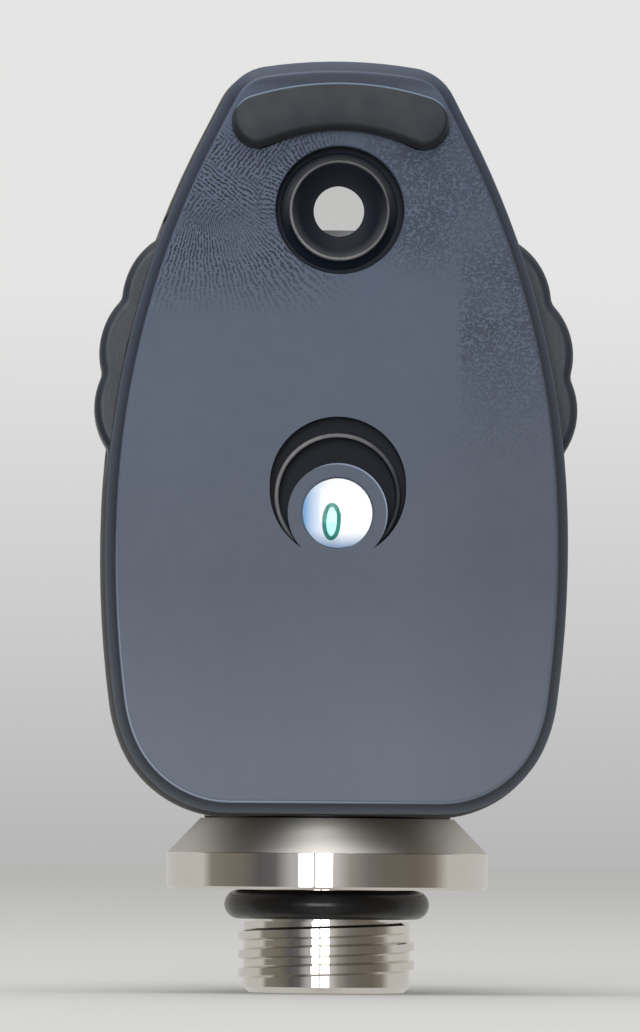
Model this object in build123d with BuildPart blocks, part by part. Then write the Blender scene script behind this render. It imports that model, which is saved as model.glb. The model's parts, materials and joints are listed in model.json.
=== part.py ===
"""Pocket ophthalmoscope head: two shells around a lens wheel, an aperture wheel, a lamp and its optics.

Frame: millimetres, +Z up the head, origin at the centre of the flange's underside, on the thread's axis.
The examiner looks along +Y into the sight hole, and the patient is on the +Y side.
"""

import math
import os

from build123d import *

os.makedirs("parts", exist_ok=True)

# Head outline, seen by the examiner: half of it, as tangent arcs from the chin up to the crown.
CHIN_Z = 4.2
CHIN_HALF = 6.15
SIDE_ARCS = ((6.8, 66.0), (9.3, 16.3), (67.0, 9.8), (52.4, 25.0))  # (radius, turn in degrees)
TEMPLE_RUN = 2.5
TEMPLE_ARC = (3.2, 53.8)

# Depths, rear (examiner) to front (patient)
REAR_Y = -10.2
PARTING_Y = -4.9
FRONT_Y = 9.5
WALL = 1.4
DRAFT = 2.7  # degrees, each shell narrows away from the parting line
RIM_WIDTH = 0.7
RIM_DEPTH = 0.6
RIM_ROUNDS = (0.3, 0.2)  # outside and inside the rim
FRONT_RIM = 2.4
PARTING_GAP = 0.02
RECESS_EDGE = 0.1

# Lens wheel
WHEEL_Z = 28.85
LOBES = 19
PITCH = 360 / LOBES
WHEEL_CREST = 14.15
LOBE_RADIUS = 4.3
LOBE_BLEND = 0.9
LOBE_ROUND = 0.5
LOBE_FOOT = 0.6  # how far the lobes' common disc reaches beyond the rim's inside
RIM_INNER = 12.6
RIM_REAR_Y = -8.0
RIM_FRONT_Y = -5.2
WEB_REAR_Y = -7.75
WEB_FRONT_Y = -6.2
LENS_CIRCLE = 10.65
LENS_HOLE = 1.45
OPEN_HOLE = 1.7  # the station without a lens
HUB_RADIUS = 3.0
HUB_BOSS = 2.4
HUB_RISE = 0.2
SLOT_GAP = 0.3
AXLE_RADIUS = 1.2
AXLE_HEAD = 2.2
AXLE_HEAD_HEIGHT = 0.5
AXLE_SLOT = 0.25
RUNNING_GAP = 0.04
WASHER_THICK = 0.3
POWERS = 9  # lenses of each sign
PLUS_EDGE = 0.7
PLUS_CROWNS = (0.04, 0.03)  # the weakest lens's crown, and how much each stronger one adds
MINUS_EDGE = 1.2
MINUS_CROWNS = (0.05, 0.04)

# Sight hole and readout
SIGHT_Z = WHEEL_Z + LENS_CIRCLE
SIGHT_RECESS = 3.74
SIGHT_LIP = 2.84
PUPIL = 1.47
PUPIL_FLARE = 0.3  # how much the bore widens behind the pupil
PUPIL_Y = REAR_Y + 1.25
GROOVE_Y = REAR_Y + 1.3
LIP_Y = REAR_Y + 0.2
LIP_ROUND = 0.07
DISH = (2.3, 0.4)  # a point on the dish between lip and pupil: radius, and height above the pupil
SLOPE = (0.26, 0.42)  # a point on the outer slope: outside the lip, and height above the groove
SLOPE_FOOT = 0.6
INSERT_FLANGE = 0.8  # hidden flange behind the shell
DIAL_CIRCLE = 7.0
DIAL_HALF_WIDTH = 1.9
DIAL_THICK = 0.2
DIAL_HOLE = 0.95
WINDOW_Z = WHEEL_Z - DIAL_CIRCLE
WINDOW_HOLE = 2.06
ISLAND = 2.91
CRESCENT_Z = 23.35
CRESCENT = 3.97
CRESCENT_RUN = 0.3  # straight run between the crescent's two outer arcs
READOUT_LIP_Z = 22.85
READOUT_LIP = 3.55
READOUT_FLOOR = 0.5  # thickness of the crescent's floor
READOUT_BORE = 2.6
RIDGE_Y = REAR_Y + 0.45
RIDGE_HALF = 0.14
INSERT_FRONT_Y = -8.35
INSERT_GAP = 0.04
MAGNIFIER_FOOT = 2.5
MAGNIFIER_EDGE_Y = REAR_Y + 0.1
MAGNIFIER_CROWN = 0.42
GLASS_GAP = 0.02

# Front window
FRONT_WINDOW = (7.2, 9.2)
FRONT_WINDOW_Z = 38.6
FRONT_CORNER = 1.2
FRONT_LEDGE = 0.5
FRONT_GLASS = 0.65
FRONT_SUNK = 0.1

# Brow pad
PAD_LOBE = (4.75, 44.58)  # centre of a lobe, x and z
PAD_LOBE_RADIUS = 1.58
PAD_ARCH = 15.62  # radius of the line through the lobes' centres
PAD_NOTCH = 9.6
PAD_NOTCH_Z = 34.5
PAD_SEAT = 0.6
PAD_PROUD = 0.9
PAD_EDGE = 0.45
PAD_CORNER = 1.0
PAD_GAP = 0.03

# Collar, thread and handle seat
FLANGE_RADIUS = 9.5
BAND_HEIGHT = 2.1
SEAT_INNER = 6.15  # inside this radius the flange is relieved over the sealing ring
SEAT_RELIEF = 0.05
CONE_TOP_Z = 4.17
CONE_TOP_RADIUS = 7.5
NECK_RADIUS = 5.5
THREAD_RADIUS = 5.22
THREAD_ROOT = 4.93
THREAD_PITCH = 1.1
THREAD_THIRDS = 8  # thirds of a turn
THREAD_START = 90  # degrees about the axis, where the thread begins, on the far side
THREAD_START_Z = -5.25
THREAD_TOP_Z = -1.9
THREAD_END_Z = -6.1
THREAD_LEAD_IN = 0.35
# The tooth's corners: beyond the root radius, and along Z
THREAD_TOOTH = ((-0.1, 0.42), (0.45, 0.14), (0.45, -0.14), (-0.1, -0.42))
FLANGE_EDGE = 0.15
NECK_GAP = 0.1
RING_SECTION = 0.86
RING_CENTRE = 5.2

# Lamp and contact
LAMP_BORE = 3.2
LAMP_STOP = 2.75  # radius of the collar's step that stops the lamp
LAMP_Z = -2.2  # underside of the lamp's sleeve
SLEEVE_LENGTH = 8.2
SLEEVE_BORE = 2.45
BASE_LOW_Z = LAMP_Z + 0.3
BASE_TOP_Z = LAMP_Z + 3.0
PIP_RADIUS = 0.7
BULB_RADIUS = 2.3
BULB_WALL = 0.3
BULB_FOOT = 2.4  # solid glass below the filament
BULB_Z = LAMP_Z + 3.1
BULB_SHOULDER_Z = LAMP_Z + 10.4
POST_LENGTH = 2.38
POST_X_SPREAD = 0.9
POST_WIRE = 0.12
COIL_RADIUS = 0.22
COIL_LENGTH = 2.0
BUSH_LOW_Z = THREAD_END_Z + 0.2
BUSH_TOP_Z = LAMP_Z - 0.15
BUSH_BORE = 1.7
PLUNGER_FLANGE_Z = -4.9
PLUNGER_RADIUS = 0.94
PLUNGER_FLANGE = 1.6
PLUNGER_FLANGE_TOP_Z = PLUNGER_FLANGE_Z + 0.42
PLUNGER_PILOT = 0.62
PLUNGER_PILOT_LENGTH = 0.38
PLUNGER_GAP = 0.06
PLUNGER_TIP_Z = THREAD_END_Z + 0.05
PLUNGER_EDGE = 0.2
SPRING_WIRE = 0.12
SPRING_COIL = 1.15
SPRING_TURNS = 4
SPRING_LOW_Z = PLUNGER_FLANGE_TOP_Z + SPRING_WIRE + 0.02
SPRING_TOP_Z = BASE_LOW_Z - SPRING_WIRE - 0.05

# Light path
CHASSIS_REAR_Y = -4.6
CHASSIS_FRONT_Y = -3.2
LOWER_BRACKET_Z = 15.8
UPPER_BRACKET_Z = 23.6
BRACKET = 1.4
BARREL_RADIUS = 2.55
BARREL_RIM = 3.0
PRESS_GAP = 0.01
CONDENSER_Z = 12.6
CONDENSER_BORE = 1.95
CONDENSER_STOP = 1.6
CONDENSER_TOP_Z = LOWER_BRACKET_Z + BRACKET + 0.3
CONDENSER_LIP = 0.4
CONDENSER_LENS_Z = LOWER_BRACKET_Z + 0.3
CONDENSER_LENS = (0.9, 0.35, 0.45)  # edge and the two crowns
OBJECTIVE_TOP_Z = 30.6
OBJECTIVE_BORE = 2.1
OBJECTIVE_STOP = 1.5
OBJECTIVE_SEAT_Z = OBJECTIVE_TOP_Z - 2.6
OBJECTIVE_FOOT_Z = UPPER_BRACKET_Z - 0.5
OBJECTIVE_RIM = 0.9
OBJECTIVE_LENS_Z = OBJECTIVE_SEAT_Z + 0.7
OBJECTIVE_LENS = (0.7, 0.3, 0.35)  # edge and the two crowns
LENS_RING_Z = OBJECTIVE_SEAT_Z + 1.3
LENS_RING = 0.6
LENS_RING_SLOT = (0.4, 0.3)  # width and depth of the slot for turning it
MIRROR_Z = 36.84

# Aperture wheel
DISC_Y = 4.3
DISC_RADIUS = 6.4
DISC_Z = 18.4
DISC_THICK = 1.2
FLUTES = 30
FLUTE = (0.35, 0.5)  # a flute's centre beyond the rim, and its radius
OPENINGS = (1.6, 0.8, 1.5, 0.5, 0.0, 1.35)  # large, small, half, fixation, slit (0) and red-free
HALF_STATION = 2
FILTER_STATION = 5
SLIT = (0.4, 2.8)
FILTER_RADIUS = 1.7
FILTER_THICK = 0.5
FILTER_SEAT = 0.6
STATION_TURN = 360 / len(OPENINGS)
PIN_RADIUS = 0.8
SPACER_RADIUS = 1.5
SPACER_GAP = 0.04

# Chassis
SPIGOT_Z = CHIN_Z + WALL + 0.15
SPIGOT_RADIUS = 6.6
FOOT_Z = SPIGOT_Z + 1.45
PLATE_LOW_Z = 13.6
PLATE_TOP_Z = 42.3
PLATE_GAP = 0.6  # all round, inside the shells' walls
MIRROR_HALF = 2.6
MIRROR_THICK = 0.6
MIRROR_LENGTH = 5.4
MIRROR_BACK_Z = MIRROR_Z + MIRROR_THICK * math.sqrt(2)  # where the mirror's back meets the light's axis
MIRROR_GAP = 0.02
SADDLE_TOP_Z = 38.84
BRACKET_WIDTH = 8.4
BRACKET_MIDDLE_Y = 1.6
BRACKET_CORNER = 2.0
FOOT_WIDTH = 12.4
FOOT_CORNER = 1.5
FOOT_STEM = 10.0
SIGHT_CLEARANCE = 2.2
READOUT_CLEARANCE = 1.3
POST_X, POST_Y, POST_Z = -5.6, -6.0, 11.3
POST_SIDE = 2.6
POST_LONG = 2.4

# Index springs
LEAF = 0.2
LEAF_WIDTH = 1.0
NOSE = 0.9  # half the width of the wheel spring's nose
VALLEY_Z = WHEEL_Z - WHEEL_CREST + 0.3
DISC_NOSE = 0.7
DISC_FLUTE_Y = DISC_Y - DISC_RADIUS + 0.15

# Screws: shank, clearance, head and socket
SHELL_SCREWS = ((-3.2, 44.9), (3.2, 44.9), (-9.0, 9.8), (9.0, 9.8))
SHELL_SHANK = 0.75
SHELL_CORE = 0.76
SHELL_CLEARANCE = 0.85
SHELL_HEAD = 1.3
SHELL_HEAD_HEIGHT = 1.0
SHELL_BITE = 3.0
SHELL_HOLE_DEPTH = 3.4
SHELL_SOCKET = (0.62, 0.6)
REAR_BOSS = 1.5
FRONT_BOSS = 1.9
SCREW_WELL = 1.4
HEAD_SEAT_Y = 1.0
COLLAR_SCREW_X = 5.0
COLLAR_SHANK = 0.53
COLLAR_HEAD = 1.05
COLLAR_HEAD_HEIGHT = 0.8
COLLAR_BITE = 1.0
COLLAR_HOLE_DEPTH = 1.2
DISC_SCREW_X = -5.2
DISC_SCREW_Z = DISC_Z + DISC_THICK / 2
SMALL_SHANK = 0.4
SMALL_HEAD = 0.75
SMALL_HEAD_HEIGHT = 0.5
SMALL_LENGTH = 1.3
POST_HOLE_DEPTH = 2.0
PLATE_HOLE_DEPTH = 1.2


def at_y(depth):
    """The sketch plane at this depth, facing the examiner: its x is X, its y is Z, and it extrudes to -Y."""
    return Plane.XZ.offset(-depth)


def save(builder, name):
    """Labels a finished piece and writes it under its node's name."""
    builder.part.label = name
    export_step(builder.part, f"parts/{name}.step")


def head_outline(inset=0.0):
    """The head's closed outline, moved inwards by the inset."""
    with BuildSketch() as outline:
        with BuildLine():
            run = Line((0, CHIN_Z), (CHIN_HALF, CHIN_Z))
            for radius, turn in SIDE_ARCS:
                run = JernArc(run @ 1, run % 1, radius, turn)
            run = Line(run @ 1, run @ 1 + (run % 1) * TEMPLE_RUN)
            run = JernArc(run @ 1, run % 1, *TEMPLE_ARC)
            left = 180 - sum(turn for _, turn in SIDE_ARCS) - TEMPLE_ARC[1]
            crown_radius = (run @ 1).X / math.sin(math.radians(left))
            JernArc(run @ 1, run % 1, crown_radius, left)
            mirror(about=Plane.YZ)
        make_face()
        if inset:
            offset(amount=-inset, kind=Kind.ARC)
    return outline.sketch


def dome(radius, crown, x):
    """The height at x of a spherical cap of this radius and crown, whose centre is on the axis."""
    ball = (radius**2 + crown**2) / (2 * crown)
    return crown - ball + math.copysign(math.sqrt(ball**2 - x**2), crown)


def at_sight(height):
    """The level sketch plane at this height, for a profile that is turned about an axis along Y."""
    return Plane.XY.offset(height)


def sight_axis(height):
    """The axis along Y at this height."""
    return Axis((0, 0, height), (0, 1, 0))


def turned(points):
    """A solid of revolution about Z from a closed outline of (radius, z) points."""
    with BuildPart() as piece:
        with BuildSketch(Plane.XZ):
            with BuildLine():
                Polyline(*points, close=True)
            make_face()
        revolve(axis=Axis.Z)
    return piece.part


def lens(radius, edge, low, high):
    """A lens about Z with its edge centred on z = 0; a positive crown bulges and a negative one is hollow."""
    half = edge / 2
    middle = radius / 2
    with BuildPart() as glass:
        with BuildSketch(Plane.XZ):
            with BuildLine():
                Line((radius, -half), (radius, half))
                ThreePointArc((radius, half), (middle, half + dome(radius, high, middle)), (0, half + high))
                Line((0, half + high), (0, -half - low))
                ThreePointArc((0, -half - low), (middle, -half - dome(radius, low, middle)), (radius, -half))
            make_face()
        revolve(axis=Axis.Z)
    return glass.part


def leaf(points, corner, thickness):
    """The flat outline of a bent leaf spring that follows these points."""
    with BuildSketch() as strip:
        with BuildLine() as path:
            FilletPolyline(*points, radius=corner)
        trace(path.edges(), line_width=thickness)
    return strip.sketch


def pad_outline(gap=0.0):
    """The brow pad's arched outline: two round lobes, and a shallow notch below its middle."""
    lobe_x, lobe_z = PAD_LOBE
    rise = PAD_ARCH - math.sqrt(PAD_ARCH**2 - lobe_x**2)
    with BuildSketch() as outline:
        with BuildLine(mode=Mode.PRIVATE):
            spine = ThreePointArc((-lobe_x, lobe_z), (0, lobe_z + rise), (lobe_x, lobe_z))
        SlotArc(spine, 2 * (PAD_LOBE_RADIUS - gap))
        with Locations((0, PAD_NOTCH_Z)):
            Circle(PAD_NOTCH + gap, mode=Mode.SUBTRACT)
        fillet(outline.vertices().filter_by_position(Axis.X, -lobe_x, lobe_x), PAD_CORNER)
    return outline.sketch


def crescent_outline(gap=0.0):
    """The crescent between the readout's outer outline and its island."""
    with BuildSketch() as outline:
        with Locations((0, CRESCENT_Z)):
            SlotCenterToCenter(CRESCENT_RUN, 2 * (CRESCENT - gap), rotation=90)
        with Locations((0, WINDOW_Z)):
            Circle(ISLAND + gap, mode=Mode.SUBTRACT)
    return outline.sketch


head = head_outline()
cavity = head_outline(WALL)

# ---------------------------------------------------------------- shells

with BuildPart() as rear_shell:
    with BuildSketch(at_y(PARTING_Y)):
        add(head)
    extrude(amount=PARTING_Y - REAR_Y, taper=DRAFT)
    panel = rear_shell.faces().sort_by(Axis.Y)[0]
    chamfer(panel.edges(), RIM_WIDTH, RIM_DEPTH, reference=panel)
    rim_edges = rear_shell.edges().filter_by_position(Axis.Y, REAR_Y - 0.01, REAR_Y + RIM_DEPTH + 0.01)
    fillet(rim_edges.group_by(Axis.Y)[-1], RIM_ROUNDS[0])
    fillet(rear_shell.faces().sort_by(Axis.Y)[0].edges(), RIM_ROUNDS[1])
    with BuildSketch(at_y(PARTING_Y)):
        add(cavity)
    extrude(amount=PARTING_Y - REAR_Y - WALL, mode=Mode.SUBTRACT)
    with BuildSketch(at_y(PARTING_Y)):
        with Locations((0, WHEEL_Z)):
            Circle(WHEEL_CREST + SLOT_GAP)
    extrude(amount=PARTING_Y - RIM_REAR_Y + SLOT_GAP, mode=Mode.SUBTRACT)
    with BuildSketch(at_y(REAR_Y + WALL)):
        with Locations((0, SIGHT_Z)):
            Circle(SIGHT_RECESS)
        with Locations((0, WINDOW_Z)):
            Circle(WINDOW_HOLE)
        add(crescent_outline())
    extrude(amount=WALL, mode=Mode.SUBTRACT)
    with BuildSketch(at_y(REAR_Y + PAD_SEAT)):
        add(pad_outline())
    extrude(amount=PAD_SEAT, mode=Mode.SUBTRACT)
    with BuildSketch(at_y(PARTING_Y)):
        with Locations(*SHELL_SCREWS):
            Circle(REAR_BOSS)
    extrude(amount=PARTING_Y - REAR_Y - WALL)
    with BuildSketch(at_y(PARTING_Y)):
        with Locations(*SHELL_SCREWS):
            Circle(SHELL_CORE)
    extrude(amount=SHELL_HOLE_DEPTH, mode=Mode.SUBTRACT)
    with BuildSketch(Plane.XY):
        Circle(NECK_RADIUS + NECK_GAP)
    extrude(amount=CHIN_Z + 2 * WALL, mode=Mode.SUBTRACT)
    circles = rear_shell.edges().filter_by(GeomType.CIRCLE)
    mouths = circles.filter_by_position(Axis.Y, REAR_Y - 0.01, REAR_Y + 0.01)
    fillet([mouth for mouth in mouths if mouth.radius in (SIGHT_RECESS, WINDOW_HOLE)], RECESS_EDGE)
save(rear_shell, "rear_shell")

with BuildPart() as front_shell:
    with BuildSketch(at_y(PARTING_Y + PARTING_GAP)):
        add(head)
    extrude(amount=-(FRONT_Y - PARTING_Y - PARTING_GAP), taper=DRAFT / 2)
    fillet(front_shell.faces().sort_by(Axis.Y)[-1].edges(), FRONT_RIM)
    with BuildSketch(at_y(PARTING_Y)):
        add(cavity)
    extrude(amount=-(FRONT_Y - WALL - PARTING_Y), mode=Mode.SUBTRACT)
    with BuildSketch(at_y(PARTING_Y + PARTING_GAP)):
        with Locations(*SHELL_SCREWS):
            Circle(FRONT_BOSS)
    extrude(amount=-(FRONT_Y - WALL - PARTING_Y))
    with BuildSketch(at_y(FRONT_Y)):
        with Locations(*SHELL_SCREWS):
            Circle(SCREW_WELL)
    extrude(amount=FRONT_Y - HEAD_SEAT_Y, mode=Mode.SUBTRACT)
    with BuildSketch(at_y(FRONT_Y)):
        with Locations(*SHELL_SCREWS):
            Circle(SHELL_CLEARANCE)
    extrude(amount=FRONT_Y - PARTING_Y, mode=Mode.SUBTRACT)
    with BuildSketch(at_y(FRONT_Y)):
        with Locations((0, FRONT_WINDOW_Z)):
            RectangleRounded(*FRONT_WINDOW, FRONT_CORNER)
    extrude(amount=FRONT_GLASS + FRONT_SUNK, mode=Mode.SUBTRACT)
    with BuildSketch(at_y(FRONT_Y)):
        with Locations((0, FRONT_WINDOW_Z)):
            RectangleRounded(*(side - 2 * FRONT_LEDGE for side in FRONT_WINDOW), FRONT_CORNER - FRONT_LEDGE)
    extrude(amount=WALL, mode=Mode.SUBTRACT)
    with BuildSketch(Plane.XY.offset(DISC_Z - SLOT_GAP)):
        with Locations((0, DISC_Y)):
            Circle(DISC_RADIUS + SLOT_GAP)
    extrude(amount=DISC_THICK + 2 * SLOT_GAP, mode=Mode.SUBTRACT)
    with BuildSketch(Plane.XY):
        Circle(NECK_RADIUS + NECK_GAP)
    extrude(amount=CHIN_Z + 2 * WALL, mode=Mode.SUBTRACT)
save(front_shell, "front_shell")

with BuildPart() as shell_screws:
    with BuildSketch(at_y(HEAD_SEAT_Y + SHELL_HEAD_HEIGHT)):
        with Locations(*SHELL_SCREWS):
            Circle(SHELL_HEAD)
    extrude(amount=SHELL_HEAD_HEIGHT)
    with BuildSketch(at_y(HEAD_SEAT_Y)):
        with Locations(*SHELL_SCREWS):
            Circle(SHELL_SHANK)
    extrude(amount=HEAD_SEAT_Y - PARTING_Y + SHELL_BITE)
    with BuildSketch(at_y(HEAD_SEAT_Y + SHELL_HEAD_HEIGHT)):
        with Locations(*SHELL_SCREWS):
            RegularPolygon(SHELL_SOCKET[0], 6)
    extrude(amount=SHELL_SOCKET[1], mode=Mode.SUBTRACT)
save(shell_screws, "shell_screws")

with BuildPart() as front_window:
    with BuildSketch(at_y(FRONT_Y - FRONT_SUNK)):
        with Locations((0, FRONT_WINDOW_Z)):
            RectangleRounded(*(side - 2 * INSERT_GAP for side in FRONT_WINDOW), FRONT_CORNER - INSERT_GAP)
    extrude(amount=FRONT_GLASS)
save(front_window, "front_window")

# ---------------------------------------------------------------- rear fittings

with BuildPart() as brow_pad:
    with BuildSketch(at_y(REAR_Y + PAD_SEAT)):
        add(pad_outline(PAD_GAP))
    extrude(amount=PAD_SEAT + PAD_PROUD)
    fillet(brow_pad.faces().sort_by(Axis.Y)[0].edges(), PAD_EDGE)
save(brow_pad, "brow_pad")

cup_radius = SIGHT_RECESS - INSERT_GAP
lip_low = (SIGHT_LIP - LIP_ROUND, LIP_Y + LIP_ROUND)
lip_high = (SIGHT_LIP + LIP_ROUND, LIP_Y + LIP_ROUND)
slope_foot = (SIGHT_LIP + SLOPE_FOOT, GROOVE_Y)
with BuildPart() as sight_cup:
    with BuildSketch(at_sight(SIGHT_Z)):
        with BuildLine():
            Polyline(
                (PUPIL, PUPIL_Y + LIP_ROUND),
                (PUPIL + PUPIL_FLARE, INSERT_FRONT_Y),
                (cup_radius + INSERT_FLANGE, INSERT_FRONT_Y),
                (cup_radius + INSERT_FLANGE, REAR_Y + WALL),
                (cup_radius, REAR_Y + WALL),
                (cup_radius, GROOVE_Y),
                slope_foot,
            )
            ThreePointArc(slope_foot, (SIGHT_LIP + SLOPE[0], GROOVE_Y - SLOPE[1]), lip_high)
            ThreePointArc(lip_high, (SIGHT_LIP, LIP_Y), lip_low)
            ThreePointArc(lip_low, (DISH[0], PUPIL_Y - DISH[1]), (PUPIL, PUPIL_Y))
            Line((PUPIL, PUPIL_Y), (PUPIL, PUPIL_Y + LIP_ROUND))
        make_face()
    revolve(axis=sight_axis(SIGHT_Z))
save(sight_cup, "sight_cup")

with BuildPart() as ridge:
    with BuildSketch(at_sight(READOUT_LIP_Z)):
        with Locations((READOUT_LIP, (RIDGE_Y + RIDGE_HALF + REAR_Y + WALL) / 2)):
            Rectangle(2 * RIDGE_HALF, REAR_Y + WALL - RIDGE_Y - RIDGE_HALF)
        with Locations((READOUT_LIP, RIDGE_Y + RIDGE_HALF)):
            Circle(RIDGE_HALF)
    revolve(axis=sight_axis(READOUT_LIP_Z))
    with BuildSketch(at_y(REAR_Y + WALL)):
        add(crescent_outline(INSERT_GAP))
    extrude(amount=WALL, mode=Mode.INTERSECT)

with BuildPart() as readout_cup:
    with BuildSketch(at_y(INSERT_FRONT_Y)):
        with Locations((0, CRESCENT_Z)):
            Circle(CRESCENT + INSERT_FLANGE)
        with Locations((0, WINDOW_Z)):
            Circle(READOUT_BORE, mode=Mode.SUBTRACT)
    extrude(amount=INSERT_FRONT_Y - REAR_Y - WALL)
    with BuildSketch(at_y(REAR_Y + WALL)):
        add(crescent_outline(INSERT_GAP))
        with Locations((0, READOUT_LIP_Z)):
            Circle(READOUT_LIP, mode=Mode.SUBTRACT)
    extrude(amount=READOUT_FLOOR)
    add(ridge.part)
save(readout_cup, "readout_cup")

magnifier_radius = WINDOW_HOLE - INSERT_GAP
magnifier_back_y = INSERT_FRONT_Y + GLASS_GAP
magnifier_step_y = REAR_Y + WALL + GLASS_GAP
crown_y = MAGNIFIER_EDGE_Y - dome(magnifier_radius, MAGNIFIER_CROWN, magnifier_radius / 2)
with BuildPart() as readout_lens:
    with BuildSketch(at_sight(WINDOW_Z)):
        with BuildLine():
            Polyline(
                (0, magnifier_back_y),
                (MAGNIFIER_FOOT, magnifier_back_y),
                (MAGNIFIER_FOOT, magnifier_step_y),
                (magnifier_radius, magnifier_step_y),
                (magnifier_radius, MAGNIFIER_EDGE_Y),
            )
            ThreePointArc(
                (magnifier_radius, MAGNIFIER_EDGE_Y),
                (magnifier_radius / 2, crown_y),
                (0, MAGNIFIER_EDGE_Y - MAGNIFIER_CROWN),
            )
            Line((0, MAGNIFIER_EDGE_Y - MAGNIFIER_CROWN), (0, magnifier_back_y))
        make_face()
    revolve(axis=sight_axis(WINDOW_Z))
save(readout_lens, "readout_lens")

# ---------------------------------------------------------------- lens wheel

with BuildPart() as lens_wheel:
    with BuildSketch(at_y(RIM_FRONT_Y)) as lobes:
        with Locations((0, WHEEL_Z)):
            Circle(RIM_INNER + LOBE_FOOT)
            with PolarLocations(WHEEL_CREST - LOBE_RADIUS, LOBES, start_angle=90):
                Circle(LOBE_RADIUS)
        fillet(lobes.vertices(), LOBE_BLEND)
    extrude(amount=RIM_FRONT_Y - RIM_REAR_Y)
    rims = lens_wheel.faces().filter_by(Axis.Y).edges()
    fillet(rims, LOBE_ROUND)
    with BuildSketch(at_y(RIM_FRONT_Y)):
        with Locations((0, WHEEL_Z)):
            Circle(RIM_INNER)
            Circle(HUB_RADIUS, mode=Mode.SUBTRACT)
    extrude(amount=RIM_FRONT_Y - WEB_FRONT_Y, mode=Mode.SUBTRACT)
    with BuildSketch(at_y(WEB_REAR_Y)):
        with Locations((0, WHEEL_Z)):
            Circle(RIM_INNER)
            Circle(HUB_RADIUS, mode=Mode.SUBTRACT)
    extrude(amount=WEB_REAR_Y - RIM_REAR_Y, mode=Mode.SUBTRACT)
    with BuildSketch(at_y(RIM_FRONT_Y)):
        with Locations((0, WHEEL_Z)):
            Circle(HUB_BOSS)
    extrude(amount=-HUB_RISE)
    with BuildSketch(at_y(RIM_FRONT_Y + HUB_RISE)):
        with Locations((0, WHEEL_Z)):
            Circle(AXLE_RADIUS + RUNNING_GAP)
            with PolarLocations(LENS_CIRCLE, LOBES, start_angle=90):
                Circle(LENS_HOLE)
            with Locations((0, LENS_CIRCLE)):
                Circle(OPEN_HOLE)
            with PolarLocations(DIAL_CIRCLE, LOBES, start_angle=270):
                Circle(DIAL_HOLE)
    extrude(amount=RIM_FRONT_Y + HUB_RISE - RIM_REAR_Y, mode=Mode.SUBTRACT)
    with BuildSketch(at_y(RIM_REAR_Y + AXLE_HEAD_HEIGHT + RUNNING_GAP)):
        with Locations((0, WHEEL_Z)):
            Circle(AXLE_HEAD + HUB_RISE)
    extrude(amount=AXLE_HEAD_HEIGHT + RUNNING_GAP, mode=Mode.SUBTRACT)
save(lens_wheel, "lens_wheel")

with BuildPart() as number_dial:
    with BuildSketch(at_y(WEB_REAR_Y)):
        with Locations((0, WHEEL_Z)):
            Circle(DIAL_CIRCLE + DIAL_HALF_WIDTH)
            Circle(DIAL_CIRCLE - DIAL_HALF_WIDTH, mode=Mode.SUBTRACT)
    extrude(amount=DIAL_THICK)
save(number_dial, "number_dial")

# The lenses stand on a plane whose origin is the wheel's centre. The first station, at the top, is open.
wheel_middle = Plane(origin=(0, (WEB_REAR_Y + WEB_FRONT_Y) / 2, WHEEL_Z), x_dir=(1, 0, 0), z_dir=(0, -1, 0))
lens_radius = LENS_HOLE - PRESS_GAP


def lens_set(edge, crowns, sign):
    """One sign's lenses, the weakest next to the open station."""
    weakest, step = crowns
    with BuildPart(wheel_middle) as lenses:
        for power in range(POWERS):
            crown = sign * (weakest + step * power)
            with PolarLocations(LENS_CIRCLE, 1, start_angle=90 + sign * (power + 1) * PITCH):
                add(lens(lens_radius, edge, crown, crown))
    return lenses


save(lens_set(PLUS_EDGE, PLUS_CROWNS, 1), "plus_lenses")
save(lens_set(MINUS_EDGE, MINUS_CROWNS, -1), "minus_lenses")

with BuildPart() as wheel_axle:
    with BuildSketch(at_y(RIM_REAR_Y + AXLE_HEAD_HEIGHT)):
        with Locations((0, WHEEL_Z)):
            Circle(AXLE_HEAD)
    extrude(amount=AXLE_HEAD_HEIGHT)
    with BuildSketch(at_y(CHASSIS_REAR_Y)):
        with Locations((0, WHEEL_Z)):
            Circle(AXLE_RADIUS)
    extrude(amount=CHASSIS_REAR_Y - RIM_REAR_Y - AXLE_HEAD_HEIGHT)
    with BuildSketch(at_y(CHASSIS_FRONT_Y - RUNNING_GAP)):
        with Locations((0, WHEEL_Z)):
            Circle(PIN_RADIUS)
    extrude(amount=CHASSIS_FRONT_Y - RUNNING_GAP - CHASSIS_REAR_Y)
    with BuildSketch(at_y(RIM_REAR_Y)):
        with Locations((0, WHEEL_Z)):
            Rectangle(1.5 * AXLE_HEAD, 2 * AXLE_SLOT)
    extrude(amount=-AXLE_SLOT, mode=Mode.SUBTRACT)
save(wheel_axle, "wheel_axle")

with BuildPart() as wheel_washer:
    with BuildSketch(at_y(CHASSIS_REAR_Y - RUNNING_GAP)):
        with Locations((0, WHEEL_Z)):
            Circle(AXLE_HEAD)
            Circle(AXLE_RADIUS + RUNNING_GAP, mode=Mode.SUBTRACT)
    extrude(amount=WASHER_THICK)
save(wheel_washer, "wheel_washer")

# ---------------------------------------------------------------- collar, seal and lamp

# The tooth stands beyond the crest and is turned down to it, which leaves a flat crest.
with BuildPart() as thread_third:
    with BuildLine():
        Helix(THREAD_PITCH, THREAD_PITCH / 3, THREAD_ROOT, center=(0, 0, THREAD_START_Z))
    with BuildSketch(Plane.XZ):
        with BuildLine():
            Polyline(*[(THREAD_ROOT + x, THREAD_START_Z + z) for x, z in THREAD_TOOTH], close=True)
        make_face()
    sweep(is_frenet=True)
    with Locations((0, 0, THREAD_END_Z / 2)):
        Cylinder(THREAD_RADIUS, -THREAD_END_Z, mode=Mode.INTERSECT)

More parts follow.
